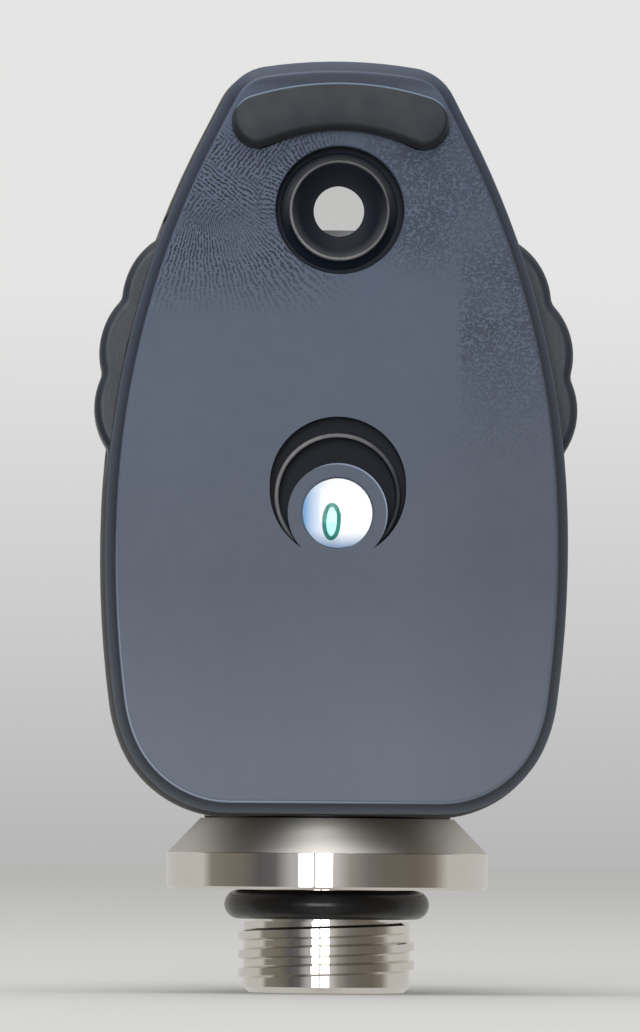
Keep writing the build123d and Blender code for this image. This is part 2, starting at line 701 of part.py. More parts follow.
with BuildPart() as collar:
    add(
        turned(
            (
                (LAMP_BORE, THREAD_END_Z),
                (THREAD_ROOT - THREAD_LEAD_IN, THREAD_END_Z),
                (THREAD_ROOT, THREAD_END_Z + THREAD_LEAD_IN),
                (THREAD_ROOT, THREAD_TOP_Z),
                (RING_CENTRE - RING_SECTION, THREAD_TOP_Z),
                (RING_CENTRE - RING_SECTION, SEAT_RELIEF),
                (SEAT_INNER, SEAT_RELIEF),
                (SEAT_INNER, 0),
                (FLANGE_RADIUS - FLANGE_EDGE, 0),
                (FLANGE_RADIUS, FLANGE_EDGE),
                (FLANGE_RADIUS, BAND_HEIGHT),
                (CONE_TOP_RADIUS, CONE_TOP_Z),
                (NECK_RADIUS, CONE_TOP_Z),
                (NECK_RADIUS, SPIGOT_Z),
                (SPIGOT_RADIUS, SPIGOT_Z),
                (SPIGOT_RADIUS, FOOT_Z),
                (LAMP_STOP, FOOT_Z),
                (LAMP_STOP, LAMP_Z + SLEEVE_LENGTH + RUNNING_GAP),
                (LAMP_BORE, LAMP_Z + SLEEVE_LENGTH + RUNNING_GAP),
            )
        )
    )
    with Locations((COLLAR_SCREW_X, 0, FOOT_Z), (-COLLAR_SCREW_X, 0, FOOT_Z)):
        Hole(COLLAR_SHANK + PRESS_GAP, depth=COLLAR_HOLE_DEPTH)
    for third in range(THREAD_THIRDS):
        with Locations(Location((0, 0, third * THREAD_PITCH / 3), (0, 0, THREAD_START + 120 * third))):
            add(thread_third.part, clean=False)
save(collar, "collar")

with BuildPart() as o_ring:
    with BuildSketch(Plane.XZ):
        with Locations((RING_CENTRE, -RING_SECTION - SEAT_RELIEF)):
            Circle(RING_SECTION)
    revolve(axis=Axis.Z)
save(o_ring, "o_ring")

sleeve_radius = LAMP_BORE - RUNNING_GAP
with BuildPart() as lamp_sleeve:
    add(
        turned(
            (
                (SLEEVE_BORE, LAMP_Z),
                (sleeve_radius, LAMP_Z),
                (sleeve_radius, LAMP_Z + SLEEVE_LENGTH),
                (LAMP_STOP, LAMP_Z + SLEEVE_LENGTH),
                (SLEEVE_BORE, LAMP_Z + SLEEVE_LENGTH - WASHER_THICK),
            )
        )
    )
save(lamp_sleeve, "lamp_sleeve")

with BuildPart() as lamp_base:
    with BuildSketch(Plane.XY.offset(BASE_LOW_Z)):
        Circle(SLEEVE_BORE - GLASS_GAP)
        Circle(PIP_RADIUS + GLASS_GAP, mode=Mode.SUBTRACT)
    extrude(amount=BASE_TOP_Z - BASE_LOW_Z)
save(lamp_base, "lamp_base")

with BuildPart() as lamp_contact:
    with BuildSketch(Plane.XY.offset(LAMP_Z - PIP_RADIUS / 2)):
        Circle(PIP_RADIUS)
    extrude(amount=BASE_TOP_Z - BASE_LOW_Z + PIP_RADIUS / 2)
    chamfer(lamp_contact.faces().sort_by(Axis.Z)[0].edges(), PIP_RADIUS / 3)
save(lamp_contact, "lamp_contact")

with BuildPart() as lamp_bulb:
    for radius, foot_z, mode in (
        (BULB_RADIUS, BULB_Z, Mode.ADD),
        (BULB_RADIUS - BULB_WALL, BULB_Z + BULB_FOOT, Mode.SUBTRACT),
    ):
        with BuildSketch(Plane.XZ):
            with BuildLine():
                Polyline((0, foot_z), (radius, foot_z), (radius, BULB_SHOULDER_Z))
                RadiusArc((radius, BULB_SHOULDER_Z), (0, BULB_SHOULDER_Z + radius), -radius)
                Line((0, BULB_SHOULDER_Z + radius), (0, foot_z))
            make_face()
        revolve(axis=Axis.Z, mode=mode)
save(lamp_bulb, "lamp_bulb")

coil_z = BULB_Z + BULB_FOOT + POST_LENGTH
with BuildPart() as lamp_filament:
    with Locations((-POST_X_SPREAD, 0, coil_z), (POST_X_SPREAD, 0, coil_z)):
        Cylinder(POST_WIRE, POST_LENGTH, align=(Align.CENTER, Align.CENTER, Align.MAX))
    with Locations(Location((0, 0, coil_z), (0, 90, 0))):
        Cylinder(COIL_RADIUS, COIL_LENGTH)
save(lamp_filament, "lamp_filament")

with BuildPart() as contact_bush:
    add(
        turned(
            (
                (PLUNGER_RADIUS + PLUNGER_GAP, BUSH_LOW_Z),
                (LAMP_BORE - GLASS_GAP, BUSH_LOW_Z),
                (LAMP_BORE - GLASS_GAP, BUSH_TOP_Z),
                (BUSH_BORE, BUSH_TOP_Z),
                (BUSH_BORE, PLUNGER_FLANGE_Z),
                (PLUNGER_RADIUS + PLUNGER_GAP, PLUNGER_FLANGE_Z),
            )
        )
    )
save(contact_bush, "contact_bush")

with BuildPart() as contact_plunger:
    add(
        turned(
            (
                (0, PLUNGER_TIP_Z),
                (PLUNGER_RADIUS - PLUNGER_EDGE, PLUNGER_TIP_Z),
                (PLUNGER_RADIUS, PLUNGER_TIP_Z + PLUNGER_EDGE),
                (PLUNGER_RADIUS, PLUNGER_FLANGE_Z + GLASS_GAP),
                (PLUNGER_FLANGE, PLUNGER_FLANGE_Z + GLASS_GAP),
                (PLUNGER_FLANGE, PLUNGER_FLANGE_TOP_Z),
                (PLUNGER_PILOT, PLUNGER_FLANGE_TOP_Z),
                (PLUNGER_PILOT, PLUNGER_FLANGE_TOP_Z + PLUNGER_PILOT_LENGTH),
                (0, PLUNGER_FLANGE_TOP_Z + PLUNGER_PILOT_LENGTH),
            )
        )
    )
save(contact_plunger, "contact_plunger")

spring_length = SPRING_TOP_Z - SPRING_LOW_Z
with BuildPart() as contact_spring:
    with BuildLine():
        coil = Helix(spring_length / SPRING_TURNS, spring_length, SPRING_COIL, center=(0, 0, SPRING_LOW_Z))
    with BuildSketch(Plane(origin=coil @ 0, z_dir=coil % 0)):
        Circle(SPRING_WIRE)
    sweep(is_frenet=True)
save(contact_spring, "contact_spring")

# ---------------------------------------------------------------- chassis and light path

with BuildPart() as chassis:
    with BuildSketch(at_y(CHASSIS_FRONT_Y)):
        add(head_outline(WALL + PLATE_GAP))
        with Locations((0, (PLATE_LOW_Z + PLATE_TOP_Z) / 2)):
            Rectangle(4 * FLANGE_RADIUS, PLATE_TOP_Z - PLATE_LOW_Z, mode=Mode.INTERSECT)
        with Locations((0, FOOT_Z)):
            Rectangle(FOOT_STEM, PLATE_LOW_Z + BRACKET - FOOT_Z, align=(Align.CENTER, Align.MIN))
    extrude(amount=CHASSIS_FRONT_Y - CHASSIS_REAR_Y)
    with BuildSketch(Plane.XY.offset(FOOT_Z)):
        Rectangle(FOOT_WIDTH, -2 * CHASSIS_REAR_Y)
        fillet(vertices().sort_by(Axis.Y)[-2:], FOOT_CORNER)
    extrude(amount=BRACKET)
    for low in (LOWER_BRACKET_Z, UPPER_BRACKET_Z):
        with BuildSketch(Plane.XY.offset(low)):
            with Locations((0, BRACKET_MIDDLE_Y)):
                Rectangle(BRACKET_WIDTH, 2 * (BRACKET_MIDDLE_Y - CHASSIS_FRONT_Y))
            fillet(vertices().sort_by(Axis.Y)[-2:], BRACKET_CORNER)
        extrude(amount=BRACKET)
    with BuildSketch(Plane.YZ.offset(-MIRROR_HALF)):
        with BuildLine():
            # the saddle's root lies a little inside the plate, so that the two join
            root_y = CHASSIS_FRONT_Y - RUNNING_GAP
            Polyline(
                (root_y, MIRROR_BACK_Z + root_y),
                (SADDLE_TOP_Z - MIRROR_BACK_Z, SADDLE_TOP_Z),
                (root_y, SADDLE_TOP_Z),
                close=True,
            )
        make_face()
    extrude(amount=2 * MIRROR_HALF)
    with BuildSketch(at_y(CHASSIS_REAR_Y)):
        with Locations((POST_X, POST_Z)):
            Rectangle(POST_SIDE, POST_SIDE)
    extrude(amount=POST_LONG)
    with BuildSketch(Plane.XY.offset(FOOT_Z)):
        Circle(LAMP_BORE + NECK_GAP)
    extrude(amount=BRACKET, mode=Mode.SUBTRACT)
    with BuildSketch(Plane.XY.offset(LOWER_BRACKET_Z)):
        Circle(BARREL_RADIUS)
        with Locations((0, DISC_Y)):
            Circle(PIN_RADIUS)
    extrude(amount=UPPER_BRACKET_Z + BRACKET - LOWER_BRACKET_Z, mode=Mode.SUBTRACT)
    with BuildSketch(at_y(CHASSIS_FRONT_Y)):
        with Locations((0, SIGHT_Z)):
            Circle(SIGHT_CLEARANCE)
        with Locations((0, WINDOW_Z)):
            Circle(READOUT_CLEARANCE)
        with Locations((0, WHEEL_Z)):
            Circle(PIN_RADIUS)
    extrude(amount=CHASSIS_FRONT_Y - CHASSIS_REAR_Y, mode=Mode.SUBTRACT)
    with Locations((COLLAR_SCREW_X, 0, FOOT_Z + BRACKET), (-COLLAR_SCREW_X, 0, FOOT_Z + BRACKET)):
        Hole(COLLAR_SHANK + NECK_GAP, depth=BRACKET)
    with Locations((POST_X, POST_Y, POST_Z + POST_SIDE / 2)):
        Hole(SMALL_SHANK, depth=POST_HOLE_DEPTH)
    with Locations(Location((DISC_SCREW_X, CHASSIS_FRONT_Y, DISC_SCREW_Z), (-90, 0, 0))):
        Hole(SMALL_SHANK, depth=PLATE_HOLE_DEPTH)
save(chassis, "chassis")

screw_seat_z = FOOT_Z + BRACKET
with BuildPart() as collar_screws:
    for x in (-COLLAR_SCREW_X, COLLAR_SCREW_X):
        with Locations((x, 0, screw_seat_z)):
            Cylinder(COLLAR_HEAD, COLLAR_HEAD_HEIGHT, align=(Align.CENTER, Align.CENTER, Align.MIN))
            Cylinder(COLLAR_SHANK, BRACKET + COLLAR_BITE, align=(Align.CENTER, Align.CENTER, Align.MAX))
        with Locations((x, 0, screw_seat_z + COLLAR_HEAD_HEIGHT)):
            Box(1.5 * COLLAR_HEAD, COLLAR_HEAD / 3, COLLAR_HEAD_HEIGHT, mode=Mode.SUBTRACT)
save(collar_screws, "collar_screws")

with BuildPart() as condenser_barrel:
    add(
        turned(
            (
                (CONDENSER_BORE, CONDENSER_Z),
                (BARREL_RIM, CONDENSER_Z),
                (BARREL_RIM, LOWER_BRACKET_Z - PRESS_GAP),
                (BARREL_RADIUS - PRESS_GAP, LOWER_BRACKET_Z - PRESS_GAP),
                (BARREL_RADIUS - PRESS_GAP, CONDENSER_TOP_Z),
                (CONDENSER_STOP, CONDENSER_TOP_Z),
                (CONDENSER_STOP, CONDENSER_TOP_Z - CONDENSER_LIP),
                (CONDENSER_BORE, CONDENSER_TOP_Z - CONDENSER_LIP),
            )
        )
    )
save(condenser_barrel, "condenser_barrel")

with BuildPart() as condenser_lens:
    with Locations((0, 0, CONDENSER_LENS_Z)):
        add(lens(CONDENSER_BORE - GLASS_GAP, *CONDENSER_LENS))
save(condenser_lens, "condenser_lens")

objective_rim_z = UPPER_BRACKET_Z + BRACKET + PRESS_GAP
with BuildPart() as objective_barrel:
    add(
        turned(
            (
                (OBJECTIVE_STOP, OBJECTIVE_FOOT_Z),
                (BARREL_RADIUS - PRESS_GAP, OBJECTIVE_FOOT_Z),
                (BARREL_RADIUS - PRESS_GAP, objective_rim_z),
                (BARREL_RIM, objective_rim_z),
                (BARREL_RIM, objective_rim_z + OBJECTIVE_RIM),
                (BARREL_RADIUS, objective_rim_z + OBJECTIVE_RIM),
                (BARREL_RADIUS, OBJECTIVE_TOP_Z),
                (OBJECTIVE_BORE, OBJECTIVE_TOP_Z),
                (OBJECTIVE_BORE, OBJECTIVE_SEAT_Z),
                (OBJECTIVE_STOP, OBJECTIVE_SEAT_Z),
            )
        )
    )
save(objective_barrel, "objective_barrel")

with BuildPart() as objective_lens:
    with Locations((0, 0, OBJECTIVE_LENS_Z)):
        add(lens(OBJECTIVE_BORE - GLASS_GAP, *OBJECTIVE_LENS))
save(objective_lens, "objective_lens")

with BuildPart() as lens_ring:
    with BuildSketch(Plane.XY.offset(LENS_RING_Z)):
        Circle(OBJECTIVE_BORE - GLASS_GAP)
        Circle(CONDENSER_STOP, mode=Mode.SUBTRACT)
    extrude(amount=LENS_RING)
    with BuildSketch(Plane.XY.offset(LENS_RING_Z + LENS_RING)):
        Rectangle(2 * BARREL_RADIUS, LENS_RING_SLOT[0])
    extrude(amount=-LENS_RING_SLOT[1], mode=Mode.SUBTRACT)
save(lens_ring, "lens_ring")

# The mirror's plane faces down and towards the patient, half way between the two.
mirror_plane = Plane(origin=(0, 0, MIRROR_Z), x_dir=(1, 0, 0), z_dir=(0, -1, 1))
with BuildPart() as mirror_plate:
    with BuildSketch(mirror_plane):
        RectangleRounded(2 * MIRROR_HALF - 0.2, MIRROR_LENGTH, 0.3)
    extrude(amount=MIRROR_THICK - MIRROR_GAP)
save(mirror_plate, "mirror")

# ---------------------------------------------------------------- aperture wheel


def station_spot(station):
    """The middle of an aperture wheel station; station 0 is on the light's axis."""
    angle = math.radians(-90 + station * STATION_TURN)
    return (DISC_Y * math.cos(angle), DISC_Y + DISC_Y * math.sin(angle))


with BuildPart() as aperture_wheel:
    with BuildSketch(Plane.XY.offset(DISC_Z)):
        with Locations((0, DISC_Y)):
            Circle(DISC_RADIUS)
            with PolarLocations(DISC_RADIUS + FLUTE[0], FLUTES, start_angle=-90):
                Circle(FLUTE[1], mode=Mode.SUBTRACT)
            Circle(PIN_RADIUS + RUNNING_GAP, mode=Mode.SUBTRACT)
    extrude(amount=DISC_THICK)
    with BuildSketch(Plane.XY.offset(DISC_Z + DISC_THICK)):
        for station, opening in enumerate(OPENINGS):
            with Locations(station_spot(station)):
                if opening:
                    Circle(opening)
                else:
                    Rectangle(*SLIT, rotation=station * STATION_TURN)
    extrude(amount=-DISC_THICK, mode=Mode.SUBTRACT)
    # a thin half disc closes one side of the half station
    with BuildSketch(Plane.XY.offset(DISC_Z)):
        half = OPENINGS[HALF_STATION]
        with Locations(station_spot(HALF_STATION)):
            turn = HALF_STATION * STATION_TURN
            Rectangle(half, 2 * half, rotation=turn, align=(Align.MIN, Align.CENTER))
    extrude(amount=DISC_THICK / 4)
    with BuildSketch(Plane.XY.offset(DISC_Z + DISC_THICK)):
        with Locations(station_spot(FILTER_STATION)):
            Circle(FILTER_RADIUS)
    extrude(amount=-FILTER_SEAT, mode=Mode.SUBTRACT)
save(aperture_wheel, "aperture_wheel")

with BuildPart() as green_filter:
    with BuildSketch(Plane.XY.offset(DISC_Z + DISC_THICK - FILTER_SEAT + PRESS_GAP)):
        with Locations(station_spot(FILTER_STATION)):
            Circle(FILTER_RADIUS - PRESS_GAP)
    extrude(amount=FILTER_THICK)
save(green_filter, "green_filter")

with BuildPart() as aperture_axle:
    with Locations((0, DISC_Y, LOWER_BRACKET_Z - PRESS_GAP)):
        Cylinder(SPACER_RADIUS - 0.3, 0.49, align=(Align.CENTER, Align.CENTER, Align.MAX))
        Cylinder(
            PIN_RADIUS - PRESS_GAP / 2,
            UPPER_BRACKET_Z + BRACKET - LOWER_BRACKET_Z + 0.8,
            align=(Align.CENTER, Align.CENTER, Align.MIN),
        )
save(aperture_axle, "aperture_axle")

disc_top_z = DISC_Z + DISC_THICK
bracket_top_z = LOWER_BRACKET_Z + BRACKET
with BuildPart() as aperture_spacers:
    for low, high in ((disc_top_z, UPPER_BRACKET_Z), (bracket_top_z, DISC_Z)):
        with BuildSketch(Plane.XY.offset(low + SPACER_GAP)):
            with Locations((0, DISC_Y)):
                Circle(SPACER_RADIUS)
                Circle(PIN_RADIUS + GLASS_GAP, mode=Mode.SUBTRACT)
        extrude(amount=high - low - 2 * SPACER_GAP)
save(aperture_spacers, "aperture_spacers")

# ---------------------------------------------------------------- index springs

post_top_z = POST_Z + POST_SIDE / 2
with BuildPart() as wheel_index_spring:
    with BuildSketch(at_y(POST_Y + LEAF_WIDTH / 2)):
        add(
            leaf(
                (
                    (POST_X - 1.1, post_top_z + 0.12),
                    (POST_X + 1.3, post_top_z + 0.12),
                    (-NOSE, VALLEY_Z - 1.0),
                    (0, VALLEY_Z - 0.05),
                    (NOSE, VALLEY_Z - 1.0),
                    (2.4, VALLEY_Z - 1.3),
                ),
                0.3,
                LEAF,
            )
        )
    extrude(amount=LEAF_WIDTH)
    with Locations((POST_X, POST_Y, post_top_z + LEAF)):
        Hole(SMALL_SHANK + 0.05, depth=2 * LEAF)
save(wheel_index_spring, "wheel_index_spring")

with BuildPart() as aperture_index_spring:
    with BuildSketch(Plane.XY.offset(DISC_Z + 0.1)):
        add(
            leaf(
                (
                    (DISC_SCREW_X - 0.9, CHASSIS_FRONT_Y + 0.11),
                    (DISC_SCREW_X + 1.3, CHASSIS_FRONT_Y + 0.11),
                    (-DISC_NOSE, DISC_FLUTE_Y - 0.55),
                    (0, DISC_FLUTE_Y - 0.17),
                    (DISC_NOSE, DISC_FLUTE_Y - 0.55),
                    (2.0, DISC_FLUTE_Y - 0.75),
                ),
                0.2,
                LEAF,
            )
        )
    extrude(amount=LEAF_WIDTH)
    with Locations(Location((DISC_SCREW_X, CHASSIS_FRONT_Y + 0.3, DISC_SCREW_Z), (-90, 0, 0))):
        Hole(SMALL_SHANK + 0.05, depth=2 * LEAF)
save(aperture_index_spring, "aperture_index_spring")

# Each small screw's head stands just clear of its leaf.
with BuildPart() as spring_screws:
    for place in (
        Location((POST_X, POST_Y, post_top_z + LEAF + RUNNING_GAP)),
        Location((DISC_SCREW_X, CHASSIS_FRONT_Y + LEAF + RUNNING_GAP, DISC_SCREW_Z), (-90, 0, 0)),
    ):
        with Locations(place):
            Cylinder(SMALL_HEAD, SMALL_HEAD_HEIGHT, align=(Align.CENTER, Align.CENTER, Align.MIN))
            Cylinder(SMALL_SHANK - PRESS_GAP, SMALL_LENGTH, align=(Align.CENTER, Align.CENTER, Align.MAX))
save(spring_screws, "spring_screws")
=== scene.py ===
"""Looks for the pocket ophthalmoscope head: finishes, soft pieces, dial numbers, studio and camera."""

import json
import math
from types import SimpleNamespace

import bmesh
import bpy
from mathutils import Matrix, Vector


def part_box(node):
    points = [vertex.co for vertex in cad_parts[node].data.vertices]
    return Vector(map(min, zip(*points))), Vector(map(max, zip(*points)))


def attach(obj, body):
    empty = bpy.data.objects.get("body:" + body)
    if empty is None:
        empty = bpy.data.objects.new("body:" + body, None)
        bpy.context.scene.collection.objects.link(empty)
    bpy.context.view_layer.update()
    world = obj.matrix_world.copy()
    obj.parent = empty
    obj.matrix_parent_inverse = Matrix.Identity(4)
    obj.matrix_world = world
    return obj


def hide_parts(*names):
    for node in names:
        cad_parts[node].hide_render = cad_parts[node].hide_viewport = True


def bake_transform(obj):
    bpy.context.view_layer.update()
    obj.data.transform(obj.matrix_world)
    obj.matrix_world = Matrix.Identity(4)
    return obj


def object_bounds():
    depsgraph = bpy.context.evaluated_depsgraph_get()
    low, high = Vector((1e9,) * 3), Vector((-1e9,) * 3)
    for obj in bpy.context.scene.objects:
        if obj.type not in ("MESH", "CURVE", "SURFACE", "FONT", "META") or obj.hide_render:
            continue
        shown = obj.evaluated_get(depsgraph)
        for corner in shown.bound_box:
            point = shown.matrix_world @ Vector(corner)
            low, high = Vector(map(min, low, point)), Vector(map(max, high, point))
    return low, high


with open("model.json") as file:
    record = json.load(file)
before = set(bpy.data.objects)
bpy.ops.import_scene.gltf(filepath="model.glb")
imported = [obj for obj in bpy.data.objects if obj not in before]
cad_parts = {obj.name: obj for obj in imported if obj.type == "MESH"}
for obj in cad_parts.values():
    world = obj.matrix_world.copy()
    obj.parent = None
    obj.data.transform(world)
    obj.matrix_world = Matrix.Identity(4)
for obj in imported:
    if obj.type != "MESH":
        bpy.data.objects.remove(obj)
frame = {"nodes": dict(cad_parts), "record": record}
cad_low, cad_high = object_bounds()
scene = bpy.context.scene
scene.view_settings.view_transform = "Standard"

MM = 0.001


def middle(node):
    low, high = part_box(node)
    return (low + high) / 2


SIGHT = middle("sight_cup")
READOUT = middle("readout_lens")
WHEEL = middle("wheel_axle")
PANEL_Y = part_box("rear_shell")[0].y
PARTING_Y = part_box("rear_shell")[1].y
FAR_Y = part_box("front_shell")[1].y
CROWN_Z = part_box("rear_shell")[1].z
FAN = SIGHT + Vector((-8.0 * MM, 0, 2.0 * MM))  # where the grain's fan of rows starts
ISLAND = 2.91 * MM  # radius of the shell's island around the readout
FLANGE_TOP = 2.1 * MM  # the collar's cylindrical band ends here and its cone begins
CONE_TOP = 4.17 * MM
CUP_LIP = 2.84 * MM  # radius of the sight cup's raised lip
ARCH = READOUT + Vector((0, 0, 1.0 * MM))  # centre of the readout cup's raised arch
ARCH_RADIUS = 3.55 * MM


# ---------------------------------------------------------------- node helpers


class Graph:
    """A node tree with short names for the nodes that this script uses."""

    def __init__(self, owner, coordinates="Object"):
        owner.use_nodes = True
        self.owner = owner
        self.nodes = owner.node_tree.nodes
        self.links = owner.node_tree.links
        self.place = self.node("ShaderNodeTexCoord").outputs[coordinates]

    def node(self, kind, inputs=(), **settings):
        made = self.nodes.new(kind)
        for key, value in settings.items():
            setattr(made, key, value)
        for key, value in dict(inputs).items():
            self.put(made.inputs[key], value)
        return made

    def put(self, socket, value):
        """Links an output to the socket, or sets the socket's own number."""
        if isinstance(value, bpy.types.NodeSocket):
            self.links.new(value, socket)
        else:
            socket.default_value = value

    def math(self, operation, *values):
        return self.node("ShaderNodeMath", dict(enumerate(values)), operation=operation).outputs[0]

    def times(self, *values):
        product = values[0]
        for value in values[1:]:
            product = self.math("MULTIPLY", product, value)
        return product

    def less(self, value, amount):
        return self.math("SUBTRACT", value, amount)

    def axis(self, name, vector=None):
        return self.node("ShaderNodeSeparateXYZ", {0: vector or self.place}).outputs[name]

    def lathe(self):
        """Fine rings along Z, as a lathe leaves them."""
        rings = self.node("ShaderNodeMapping", {"Vector": self.place, "Scale": (60, 60, 9000)}).outputs[0]
        return self.noise(1.0, 2.0, 0.6, rings)

    def noise(self, scale, detail=2.0, rough=0.5, vector=None):
        inputs = {"Vector": vector or self.place, "Scale": scale, "Detail": detail, "Roughness": rough}
        return self.node("ShaderNodeTexNoise", inputs).outputs[0]

    def range(self, value, low, high, to_low=0.0, to_high=1.0):
        inputs = {0: value, 1: low, 2: high, 3: to_low, 4: to_high}
        return self.node("ShaderNodeMapRange", inputs, clamp=True).outputs[0]

    def band(self, value, low, high, soft):
        """1 between low and high, and 0 outside, with soft steps."""
        up = self.range(value, low - soft, low)
        down = self.range(value, high, high + soft, 1.0, 0.0)
        return self.times(up, down)

    def facing_up(self):
        """How much the surface faces up: 1 for a top, 0 for a side, -1 for an underside."""
        return self.axis("Z", self.node("ShaderNodeNewGeometry").outputs["Normal"])

    def radius(self, centre):
        """The distance from the line through this centre along Y."""
        across = self.less(self.axis("X"), centre.x)
        above = self.less(self.axis("Z"), centre.z)
        return self.math("SQRT", self.math("ADD", self.times(across, across), self.times(above, above)))

    def angle(self, centre):
        """The angle about the line through this centre along Y, 0 straight down."""
        across = self.less(self.axis("X"), centre.x)
        below = self.less(centre.z, self.axis("Z"))
        return self.math("ARCTAN2", across, below)

    def mix(self, factor, first, second):
        made = self.node("ShaderNodeMix", data_type="RGBA")
        self.put(made.inputs["Factor"], factor)
        for key, value in (("A", first), ("B", second)):
            socket = [s for s in made.inputs if s.name == key and s.type == "RGBA"][0]
            self.put(socket, value if isinstance(value, bpy.types.NodeSocket) else (*value, 1.0))
        return [s for s in made.outputs if s.type == "RGBA"][0]

    def shade(self, colour, amount):
        """The colour times a number that changes over the surface."""
        return self.node("ShaderNodeVectorMath", {0: colour, "Scale": amount}, operation="SCALE").outputs[0]

    def bump(self, height, distance, strength=1.0):
        inputs = {"Height": height, "Distance": distance, "Strength": strength}
        return self.node("ShaderNodeBump", inputs).outputs[0]

    def surface(self, **values):
        """Sets or links the shader's inputs, and returns the material."""
        shader = self.nodes["Principled BSDF"]
        for key, value in values.items():
            name = key.replace("_", " ")
            socket = next(s for s in shader.inputs if s.name.lower() == name)
            if isinstance(value, tuple) and len(value) == 3 and socket.type == "RGBA":
                value = (*value, 1.0)
            self.put(socket, value)
        return self.owner


def material_graph(name):
    return Graph(bpy.data.materials.new(name))


# ---------------------------------------------------------------- finishes


ROW_PITCH = 0.23 * MM  # between two rows of the leathery grain
SPOKES_AT = 4.0 * MM  # distance from the sight hole where its rows have that pitch
FAN_AT = 5.6 * MM  # distance from the fan's centre where its rows have that pitch
SIDE_GRAIN = 0.4  # depth of the flanks' grain against the panel's


def leather_rows(g, across, along):
    """Rows of short dashes, as spark erosion leaves them: 1 on a ridge, 0 in a valley."""
    sway = g.range(g.noise(1300, 1.0), 0.0, 1.0, -5.0, 5.0)
    row = g.math("SINE", g.math("MULTIPLY_ADD", across, 2 * math.pi / ROW_PITCH, sway))
    inputs = {0: g.times(across, 1.6 / ROW_PITCH), 1: g.times(along, 1.3 / ROW_PITCH)}
    beads = g.node("ShaderNodeCombineXYZ", inputs).outputs[0]
    broken = g.range(g.noise(1.0, 1.0, 0.5, beads), 0.3, 0.7, -1.2, 1.2)
    return g.range(g.math("ADD", row, broken), -0.9, -0.25)


def leather(g):
    """Rows that cross above, run out from the sight hole beside it, and fan out below it."""
    across, height = g.axis("X"), g.axis("Z")
    slope = g.math("ADD", g.times(across, 0.6), g.times(height, 0.8))
    climb = g.less(g.times(across, 0.8), g.times(height, 0.6))
    from_sight, from_fan = g.radius(SIGHT), g.radius(FAN)
    spokes = g.times(g.angle(SIGHT), SPOKES_AT)
    fan = g.times(g.angle(FAN), FAN_AT)
    patches = g.range(g.noise(260, 1.0), 0.46, 0.54)
    upper = g.mix(patches, leather_rows(g, slope, climb), leather_rows(g, climb, slope))
    near_sight = g.range(from_sight, 4.3 * MM, 5.2 * MM, 1.0, 0.0)
    upper = g.mix(near_sight, upper, leather_rows(g, spokes, from_sight))
    lower = g.range(g.less(height, SIGHT.z), -1.5 * MM, 0.5 * MM, 1.0, 0.0)
    return g.mix(lower, upper, leather_rows(g, fan, from_fan))


def leather_area(g):
    """The panel's upper left, with worn patches."""
    above_sight = g.less(g.axis("Z"), SIGHT.z)
    left = g.range(g.axis("X"), -2.8 * MM, 1.5 * MM, 1.0, 0.0)
    tall = g.band(above_sight, -2.5 * MM, 4.1 * MM, 4.0 * MM)
    under_pad = g.range(above_sight, 4.4 * MM, 5.1 * MM, 1.0, 0.0)
    worn = g.range(g.noise(420, 2.0), 0.32, 0.5, 0.45, 1.0)
    return g.times(left, tall, under_pad, worn)


def sand_area(g):
    """The panel's upper right, and a strip that runs on down along its edge."""
    across = g.axis("X")
    above_sight = g.less(g.axis("Z"), SIGHT.z)
    beside = g.times(g.range(across, 0.5 * MM, 2.6 * MM), g.range(above_sight, -4.7 * MM, -1.5 * MM))
    strip = g.times(g.range(across, 6.7 * MM, 7.3 * MM), g.range(above_sight, -15.5 * MM, -6.5 * MM))
    under_pad = g.range(above_sight, 4.4 * MM, 6.0 * MM, 1.0, 0.0)
    return g.times(g.math("MAXIMUM", beside, strip), under_pad)


def shell_zones(g):
    """Where the surface is panel, edge line, rim, flank, parting line, far face or crown."""
    depth, height = g.axis("Y"), g.axis("Z")
    behind_panel = g.less(depth, PANEL_Y)
    rim = g.range(behind_panel, 0.02 * MM, 0.12 * MM)
    side = g.range(behind_panel, 0.6 * MM, 1.2 * MM)
    return SimpleNamespace(
        face=g.range(behind_panel, 0.03 * MM, 0.08 * MM, 1.0, 0.0),
        edge=g.band(behind_panel, 0.05 * MM, 0.11 * MM, 0.03 * MM),
        rim=g.times(rim, g.range(behind_panel, 0.2 * MM, 0.9 * MM, 1.0, 0.0)),
        side=side,
        flank=g.times(side, g.range(depth, PANEL_Y + 1.0 * MM, PARTING_Y - 0.5 * MM, 0.60, 0.1)),
        parting=g.band(g.less(depth, PARTING_Y), -0.35 * MM, 0.1 * MM, 0.15 * MM),
        far=g.range(g.less(depth, FAR_Y), -1.2 * MM, -0.3 * MM),
        crown=g.range(g.less(height, CROWN_Z), -2.1 * MM, -1.5 * MM),
    )


def shell_colour(g, zones):
    """Blue-grey, bluer towards the crown, and neutral on the flanks, where it is also darker as painted
    shade.
    """
    base = g.mix(g.range(g.axis("Z"), 8 * MM, 42 * MM), (0.100, 0.118, 0.150), (0.074, 0.096, 0.150))
    base = g.mix(zones.side, base, (0.062, 0.063, 0.062))
    return g.mix(zones.far, base, (0.078, 0.088, 0.106))


